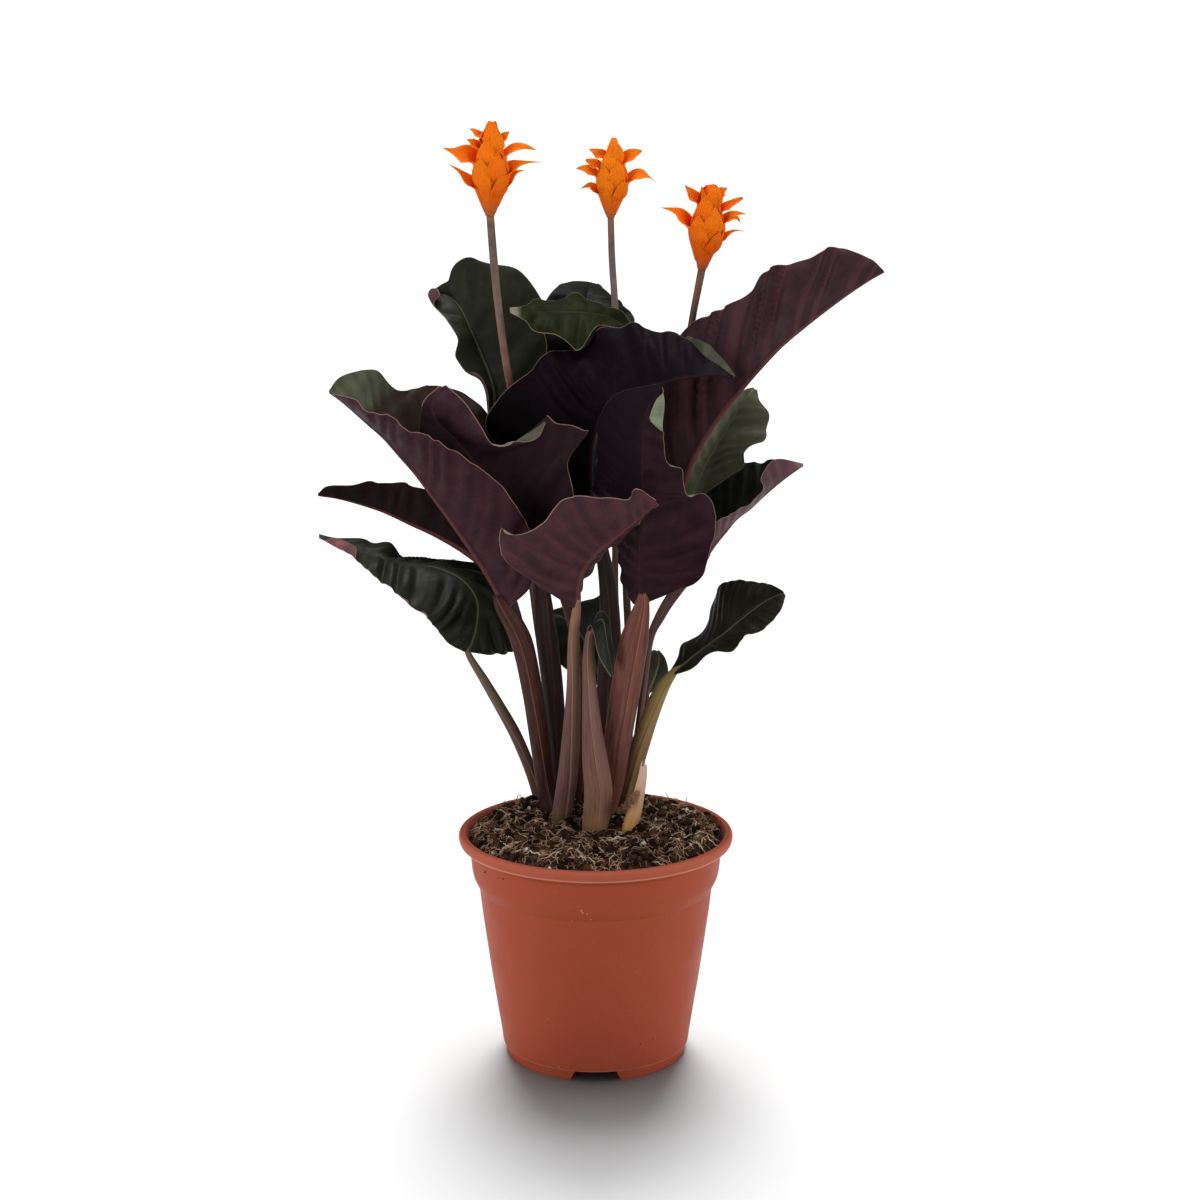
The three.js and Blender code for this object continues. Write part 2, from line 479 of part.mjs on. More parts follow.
function geometryFrom(solid) {
  const mesh = solid.getMesh();
  const geometry = new THREE.BufferGeometry();
  geometry.setAttribute('position', new THREE.BufferAttribute(new Float32Array(mesh.vertProperties), 3));
  geometry.setIndex(Array.from(mesh.triVerts));
  return geometry;
}

// A block that narrows from its width at ground level to topWidth at its top.
function taperedSolid(width, topWidth, depth, height, centre, turn) {
  const geometry = new THREE.BoxGeometry(1, depth, 2 * height);
  const place = geometry.attributes.position;
  for (let i = 0; i < place.count; i++) {
    const across = place.getZ(i) > 0 ? topWidth : 2 * width - topWidth;
    place.setX(i, place.getX(i) * across);
  }
  geometry.translate(...centre);
  geometry.rotateZ(turn);
  geometry.deleteAttribute('normal');
  geometry.deleteAttribute('uv');
  return solidOf(mergeVertices(geometry, MERGE_DISTANCE));
}

// ---- Pot and soil ----

const notchTurns = Array.from({ length: NOTCH_COUNT }, (_, i) => (i * 2 * Math.PI) / NOTCH_COUNT);
const notchMiddle = -(POT_BASE_RADIUS - NOTCH_DEPTH / 2);

// A block over each drainage arch, reaching past the wall.
function archBlocks(margin, height) {
  const reach = NOTCH_DEPTH + 2 * margin + NOTCH_OVERHANG;
  const middle = [0, notchMiddle - NOTCH_OVERHANG / 2, 0];
  const slope = (NOTCH_WIDTH - NOTCH_TOP_WIDTH) / NOTCH_HEIGHT;
  const width = NOTCH_WIDTH + 2 * margin;
  return notchTurns.map((turn) => taperedSolid(width, width - slope * height, reach, height, middle, turn));
}

function potGeometry() {
  const outer = turned([[0, 0], ...POT_OUTSIDE, [0, POT_RIM_HEIGHT]], POT_SEGMENTS);
  const cavity = turned([
    [0, POT_FLOOR], [POT_BASE_RADIUS - POT_WALL, POT_FLOOR], ...POT_INSIDE,
    [POT_MOUTH_RADIUS, POT_RIM_HEIGHT + 1], [0, POT_RIM_HEIGHT + 1],
  ], POT_SEGMENTS);
  let inside = solidOf(cavity);
  for (const cover of archBlocks(POT_WALL, NOTCH_HEIGHT + POT_WALL)) {
    inside = inside.subtract(cover);
  }
  let pot = solidOf(outer).subtract(inside);
  for (const arch of archBlocks(0, NOTCH_HEIGHT)) {
    pot = pot.subtract(arch);
  }
  for (const turn of notchTurns) {
    const depth = 2 * (NOTCH_HEIGHT + POT_WALL) + 1;
    const hole = new THREE.CylinderGeometry(DRAIN_HOLE_RADIUS, DRAIN_HOLE_RADIUS, depth, DRAIN_HOLE_SIDES);
    hole.rotateX(Math.PI / 2);
    hole.translate(0, notchMiddle, 0);
    hole.rotateZ(turn);
    hole.deleteAttribute('normal');
    hole.deleteAttribute('uv');
    pot = pot.subtract(solidOf(mergeVertices(hole, MERGE_DISTANCE)));
  }
  return geometryFrom(pot);
}

function soilGeometry() {
  const body = turned([
    [0, POT_FLOOR + GAP], [POT_BASE_RADIUS - POT_WALL - GAP, POT_FLOOR + GAP],
    ...POT_INSIDE.map(([radius, height]) => [radius - GAP, height + GAP]),
    ...SOIL_MOUND, [0, SOIL_TOP],
  ], POT_SEGMENTS);
  let soil = solidOf(body);
  for (const cover of archBlocks(POT_WALL + GAP, NOTCH_HEIGHT + POT_WALL + GAP)) {
    soil = soil.subtract(cover);
  }
  return geometryFrom(soil);
}

// ---- Stems and blades ----

// Rings of a flattened stem along its path; the foot ring lies level on the soil.
function stemGeometry({ foot, footWidth, via, endWidth }, endPoint) {
  const footPoint = new THREE.Vector3(...foot, SOIL_TOP + GAP);
  const path = new THREE.CatmullRomCurve3([footPoint, ...via.map(at), endPoint]);
  const widths = [footWidth, ...via.map((point) => point[3]), endWidth];
  const rings = [];
  for (let i = 0; i < STEM_RINGS; i += 1) {
    const t = i / (STEM_RINGS - 1);
    const place = t * (widths.length - 1);
    const below = Math.min(Math.floor(place), widths.length - 2);
    const halfWidth = THREE.MathUtils.lerp(widths[below], widths[below + 1], place - below);
    const middle = path.getPoint(t);
    const along = i === 0 ? new THREE.Vector3(0, 0, 1) : path.getTangent(t);
    const wide = new THREE.Vector3(1, 0, 0).addScaledVector(along, -along.x).normalize();
    const deep = along.clone().cross(wide);
    rings.push(Array.from({ length: STEM_SIDES }, (_, side) => {
      const angle = (side * 2 * Math.PI) / STEM_SIDES;
      return middle.clone()
        .addScaledVector(wide, halfWidth * Math.cos(angle))
        .addScaledVector(deep, halfWidth * STEM_FLATNESS * Math.sin(angle));
    }));
  }
  return tube(rings);
}

// The end of a leaf stalk, just short of the first keel point of its blade.
function stalkEnd(stalk, blade) {
  const join = at(blade.keel[0]);
  const before = at(stalk.via.at(-1));
  const back = before.sub(join).normalize();
  return join.addScaledVector(back, BLADE_CLEARANCE);
}

function bladeGeometry({ cup, keel, near, far }) {
  const K = keel.map(at);
  const N = near.map(at);
  const F = far.map(at);
  const along = (i) => K[Math.min(i + 1, K.length - 1)].clone().sub(K[Math.max(i - 1, 0)]).normalize();
  const middle = Math.floor(K.length / 2);
  const toEye = EYE.clone().sub(K[middle]);
  const side = Math.sign(along(middle).cross(N[middle].clone().sub(K[middle])).dot(toEye));
  const bowed = (from, to, outward) => {
    const width = to.clone().sub(from);
    return from.clone().addScaledVector(width, 0.5).addScaledVector(outward, cup * width.length());
  };
  const grid = K.map((k, i) => {
    const nearOut = along(i).cross(N[i].clone().sub(k)).normalize().multiplyScalar(side);
    const farOut = along(i).cross(k.clone().sub(F[i])).normalize().multiplyScalar(side);
    return [N[i], bowed(k, N[i], nearOut), k, bowed(k, F[i], farOut), F[i]];
  });
  return sheet(grid, BLADE_THICKNESS);
}

// ---- Flower heads ----

function headFrame({ base, top }) {
  const foot = at(base);
  const axis = at(top).sub(foot);
  const height = axis.length();
  axis.normalize();
  const right = new THREE.Vector3(1, 0, 0).addScaledVector(axis, -axis.x).normalize();
  const back = axis.clone().cross(right);
  const place = (radius, azimuth, rise, aside = 0) => {
    const angle = THREE.MathUtils.degToRad(azimuth);
    return foot.clone()
      .addScaledVector(right, radius * Math.cos(angle) - aside * Math.sin(angle))
      .addScaledVector(back, radius * Math.sin(angle) + aside * Math.cos(angle))
      .addScaledVector(axis, rise);
  };
  return { height, place };
}

// The closed bracts in the middle of a head: a funnel below and a blunt bud above.
function spikeGeometry(head) {
  const { height, place } = headFrame(head);
  const outline = [[0, 0.28], [0.14, 0.5], [0.28, 0.84], [0.42, 1], [0.6, 0.86], [0.78, 0.62],
    [0.92, 0.4], [1, 0.12]];
  const rings = outline.map(([rise, girth]) => Array.from({ length: SPIKE_SIDES }, (_, side) => (
    place(head.girth * girth, (side * 360) / SPIKE_SIDES, GAP + rise * (height - GAP))
  )));
  return tube(rings);
}

// One outer bract: it leaves the funnel, opens outwards and narrows to a point.
function bractGeometry(head, { azimuth, reach, rise, width }) {
  const { place } = headFrame(head);
  const start = head.girth + BRACT_CLEARANCE;
  const startRise = rise * BRACT_START;
  const stations = [[0, 0, 0.75], [0.3, 0.45, 1], [0.55, 0.72, 0.8], [0.78, 0.9, 0.45], [1, 1, 0.1]];
  const grid = stations.map(([out, up, share]) => {
    const radius = THREE.MathUtils.lerp(start, reach, out);
    const height = THREE.MathUtils.lerp(startRise, rise, up);
    const half = width * share;
    return [-1, 0, 1].map((across) => {
      const aside = Math.abs(across) * half;
      return place(radius - aside * BRACT_TUCK, azimuth, height + aside * BRACT_LIFT, across * half);
    });
  });
  return sheet(grid, BRACT_THICKNESS);
}

// ---- Assembly ----

const calathea = new THREE.Group();

function add(name, geometry, material) {
  const mesh = new THREE.Mesh(geometry, material);
  mesh.name = name;
  calathea.add(mesh);
}

add('nursery_pot', potGeometry(), TERRACOTTA);
add('potting_soil', soilGeometry(), PEAT);
add('dry_sheath_stub', stemGeometry(DRY_STUB, at(DRY_STUB.end)), DRY_SHEATH);

for (const [place, blade] of Object.entries(BLADES)) {
  const stalk = LEAF_STALKS[place];
  add(`leaf_stalk_${place}`, stemGeometry(stalk, stalkEnd(stalk, blade)), STEM);
  add(`leaf_blade_${place}`, bladeGeometry(blade), LEAF_GREEN);
}

for (const [place, head] of Object.entries(FLOWER_HEADS)) {
  const stalk = FLOWER_STALKS[place];
  add(`flower_stalk_${place}`, stemGeometry(stalk, at(stalk.end)), STALK);
  add(`flower_spike_${place}`, spikeGeometry(head), BRACT_ORANGE);
  head.bracts.forEach((bract, i) => {
    add(`flower_bract_${place}_${i + 1}`, bractGeometry(head, bract), BRACT_ORANGE);
  });
}

export default calathea;
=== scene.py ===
"""Eternal flame calathea (Calathea crocata) in its nursery pot: fine shape and finish of every piece."""
import math

import bmesh
import bpy
import numpy as np
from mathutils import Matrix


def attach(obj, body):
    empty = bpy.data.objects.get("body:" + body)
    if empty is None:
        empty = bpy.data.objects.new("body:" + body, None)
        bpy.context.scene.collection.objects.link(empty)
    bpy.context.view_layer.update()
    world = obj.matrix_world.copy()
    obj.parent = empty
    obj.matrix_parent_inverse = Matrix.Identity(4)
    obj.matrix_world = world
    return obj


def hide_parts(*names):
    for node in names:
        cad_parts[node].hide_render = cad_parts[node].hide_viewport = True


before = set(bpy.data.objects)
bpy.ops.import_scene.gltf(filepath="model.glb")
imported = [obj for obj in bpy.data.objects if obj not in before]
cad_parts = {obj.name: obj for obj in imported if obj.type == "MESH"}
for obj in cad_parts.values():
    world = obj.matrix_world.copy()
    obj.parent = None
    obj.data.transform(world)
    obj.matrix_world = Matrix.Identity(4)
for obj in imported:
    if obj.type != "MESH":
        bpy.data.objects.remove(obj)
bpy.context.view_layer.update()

# ---- Camera and the front elevation ----

# The plant is laid out on a front elevation drawn in perspective, in millimetres. The eye stands at
# EYE, looks down by TILT, and the sheet hangs SHEET_DISTANCE in front of it. A point is written
# [u, v, y]: u across and v up on the sheet, and y is how far back it lies.
MM = 0.001
EYE = np.array([2.2, -1100.0, 464.0])
TILT = math.radians(11.68)
SHEET_DISTANCE = 1123.5
SHEET_WIDTH = 600.0  # the part of the sheet that fills the picture
SENSOR = 36.0


def at(points):
    """World points in millimetres of an array of [u, v, y]."""
    points = np.asarray(points, float)
    u, v, y = points[..., 0], points[..., 1], points[..., 2]
    ahead = v * math.sin(TILT) + SHEET_DISTANCE * math.cos(TILT)
    up = v * math.cos(TILT) - SHEET_DISTANCE * math.sin(TILT)
    reach = (y - EYE[1]) / ahead
    return EYE + np.stack([u * reach, ahead * reach, up * reach], -1)


CLIP_START = 0.01  # metres


def make_camera():
    camera = bpy.data.objects.new("camera", bpy.data.cameras.new("camera"))
    camera.location = EYE * MM
    camera.rotation_euler = (math.pi / 2 - TILT, 0, 0)
    camera.data.sensor_width = SENSOR
    camera.data.lens = SENSOR * SHEET_DISTANCE / SHEET_WIDTH
    camera.data.clip_start = CLIP_START
    bpy.context.scene.collection.objects.link(camera)
    bpy.context.scene.camera = camera


# ---- Curves and meshes ----


def unit(vectors):
    length = np.linalg.norm(vectors, axis=-1, keepdims=True)
    return vectors / np.maximum(length, 1e-9)


def smoothstep(low, high, x):
    t = np.clip((x - low) / (high - low), 0, 1)
    return t * t * (3 - 2 * t)


def spline(points, places):
    """Catmull-Rom curve through points, read at places from 0 to len(points) - 1."""
    points = np.asarray(points, float)
    points = points.reshape(len(points), -1)
    index = np.clip(np.floor(places).astype(int), 0, len(points) - 2)
    t = (places - index)[:, None]
    padded = np.vstack([2 * points[0] - points[1], points, 2 * points[-1] - points[-2]])
    a, b, c, d = (padded[index + k] for k in range(4))
    return 0.5 * (2 * b + (c - a) * t + (2 * a - 5 * b + 4 * c - d) * t**2 + (3 * b - a - 3 * c + d) * t**3)


PATH_SAMPLES = 40  # for each point of a path whose length is measured


def length_along(points):
    """Distance walked along the points, from the first to each."""
    steps = np.linalg.norm(np.diff(points, axis=0), axis=1)
    return np.concatenate([[0], np.cumsum(steps)])


def even_path(points, rows):
    """Curve through points read at rows places of equal spacing, with the length up to each."""
    places = np.linspace(0, len(points) - 1, PATH_SAMPLES * len(points))
    length = length_along(spline(points, places))
    wanted = np.linspace(0, length[-1], rows)
    return np.interp(wanted, length, places), wanted


def grid_faces(rows, columns, closed=False):
    """Quads over a grid of vertices, rows by columns, closed round the columns if asked."""
    r = np.arange(rows - 1)[:, None] * columns
    c = np.arange(columns if closed else columns - 1)[None, :]
    n = (c + 1) % columns
    return np.stack([r + c, r + n, r + columns + n, r + columns + c], -1).reshape(-1, 4)


def closed_tube_faces(rows, columns):
    """Faces of a tube of rings and of its two ends, whose middles follow the rings' points."""
    side = np.arange(columns)
    after = (side + 1) % columns
    last = rows * columns
    start = np.stack([np.full(columns, last), after, side], -1)
    end = np.stack([np.full(columns, last + 1), last - columns + side, last - columns + after], -1)
    return [*grid_faces(rows, columns, closed=True), *start, *end]


def rim_walls(rows, columns):
    """Quads round the rim of a sheet whose back points follow its front points."""
    index = np.arange(rows * columns).reshape(rows, columns)
    rim = np.concatenate([index[:, 0], index[-1, 1:], index[-2::-1, -1], index[0, -2:0:-1]])
    after = np.roll(rim, -1)
    return np.stack([rim, rim + index.size, after + index.size, after], -1)


def split_faces(quads):
    """Quads split along the same diagonal, so that the two faces of a thin sheet keep apart."""
    return np.concatenate([quads[:, [0, 1, 2]], quads[:, [0, 2, 3]]])


def grid_normals(grid):
    along = np.gradient(grid, axis=0)
    across = np.gradient(grid, axis=1)
    return unit(np.cross(along, across))


def two_faced(grid, thickness):
    """Points and faces of a thin sheet about a grid of points; thickness is one value or a grid."""
    shift = grid_normals(grid) * np.asarray(thickness / 2)[..., None]
    points = np.concatenate([(grid + shift).reshape(-1, 3), (grid - shift).reshape(-1, 3)])
    rows, columns = grid.shape[:2]
    front = split_faces(grid_faces(rows, columns))
    return points, [*front[:, ::-1], *(front + rows * columns), *rim_walls(rows, columns)]


def new_object(name, points, faces):
    """Object at the origin whose mesh is given by points in millimetres and faces."""
    mesh = bpy.data.meshes.new(name)
    mesh.from_pydata((np.asarray(points) * MM).tolist(), [], [list(map(int, face)) for face in faces])
    thing = bpy.data.objects.new(name, mesh)
    bpy.context.scene.collection.objects.link(thing)
    return thing


def make_piece(name, points, faces, materials, picks=None, facts=None, node=None):
    """One piece of the object. picks gives each face's material, facts each vertex's values."""
    piece = new_object(name, points, faces)
    mesh = piece.data
    for material in materials:
        mesh.materials.append(material)
    if picks is not None:
        mesh.polygons.foreach_set("material_index", np.asarray(picks, np.int32))
    mesh.polygons.foreach_set("use_smooth", np.ones(len(mesh.polygons), bool))
    for key, values in (facts or {}).items():
        attribute = mesh.attributes.new(key, "FLOAT", "POINT")
        attribute.data.foreach_set("value", np.asarray(values, np.float32))
    mesh.validate()
    mesh.update()
    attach(piece, "root")
    if node:
        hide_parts(node)


# ---- Material helpers ----


def linear(code):
    """Linear colour of an sRGB code such as #904332."""
    value = np.array([int(code[i : i + 2], 16) / 255 for i in (1, 3, 5)])
    value = np.where(value <= 0.04045, value / 12.92, ((value + 0.055) / 1.055) ** 2.4)
    return (*value, 1.0)


class Finish:
    """A Principled material whose node graph is put together by short calls."""

    def __init__(self, name, roughness, specular=0.5, **sockets):
        self.material = bpy.data.materials.new(name)
        self.material.use_nodes = True
        self.tree = self.material.node_tree
        self.shader = self.tree.nodes["Principled BSDF"]
        self.shader.inputs["Roughness"].default_value = roughness
        self.shader.inputs["Specular IOR Level"].default_value = specular
        for key, value in sockets.items():
            self.shader.inputs[key.replace("_", " ")].default_value = value

    def link(self, value, socket):
        if isinstance(value, bpy.types.NodeSocket):
            self.tree.links.new(value, socket)
        else:
            socket.default_value = value

    def node(self, kind, **values):
        node = self.tree.nodes.new(kind)
        for key, value in values.items():
            setattr(node, key, value)
        return node

    def fact(self, name):
        return self.node("ShaderNodeAttribute", attribute_name=name).outputs["Fac"]

    def place(self):
        return self.node("ShaderNodeTexCoord").outputs["Object"]

    def height(self):
        """Height above the ground in metres."""
        split = self.node("ShaderNodeSeparateXYZ")
        self.link(self.place(), split.inputs[0])
        return split.outputs["Z"]

    def math(self, operation, a, b=0.0, c=0.0):
        node = self.node("ShaderNodeMath", operation=operation)
        for value, socket in zip((a, b, c), node.inputs):
            self.link(value, socket)
        return node.outputs[0]

    def step(self, value, low, high, start=0.0, end=1.0):
        """value carried from low..high to start..end with soft ends."""
        node = self.node("ShaderNodeMapRange", interpolation_type="SMOOTHSTEP")
        for item, socket in zip((value, low, high, start, end), node.inputs):
            self.link(item, socket)
        return node.outputs[0]

    def vector(self, x=0.0, y=0.0, z=0.0):
        node = self.node("ShaderNodeCombineXYZ")
        for value, socket in zip((x, y, z), node.inputs):
            self.link(value, socket)
        return node.outputs[0]

    def noise(self, scale, detail=3.0, roughness=0.55, vector=None):
        node = self.node("ShaderNodeTexNoise")
        self.link(vector if vector is not None else self.place(), node.inputs["Vector"])
        node.inputs["Scale"].default_value = scale
        node.inputs["Detail"].default_value = detail
        node.inputs["Roughness"].default_value = roughness
        return node.outputs["Fac"]

    def mix(self, factor, a, b):
        node = self.node("ShaderNodeMix", data_type="RGBA")
        self.link(factor, node.inputs["Factor"])
        self.link(a, node.inputs[6])
        self.link(b, node.inputs[7])
        return node.outputs[2]

    def color(self, value):
        self.link(value, self.shader.inputs["Base Color"])

    def rough(self, value):
        self.link(value, self.shader.inputs["Roughness"])

    def bump(self, height, distance, strength=1.0):
        node = self.node("ShaderNodeBump")
        node.inputs["Strength"].default_value = strength
        node.inputs["Distance"].default_value = distance
        self.link(height, node.inputs["Height"])
        self.link(node.outputs["Normal"], self.shader.inputs["Normal"])


# ---- Driving tables: where every leaf, stem and flower stands ----

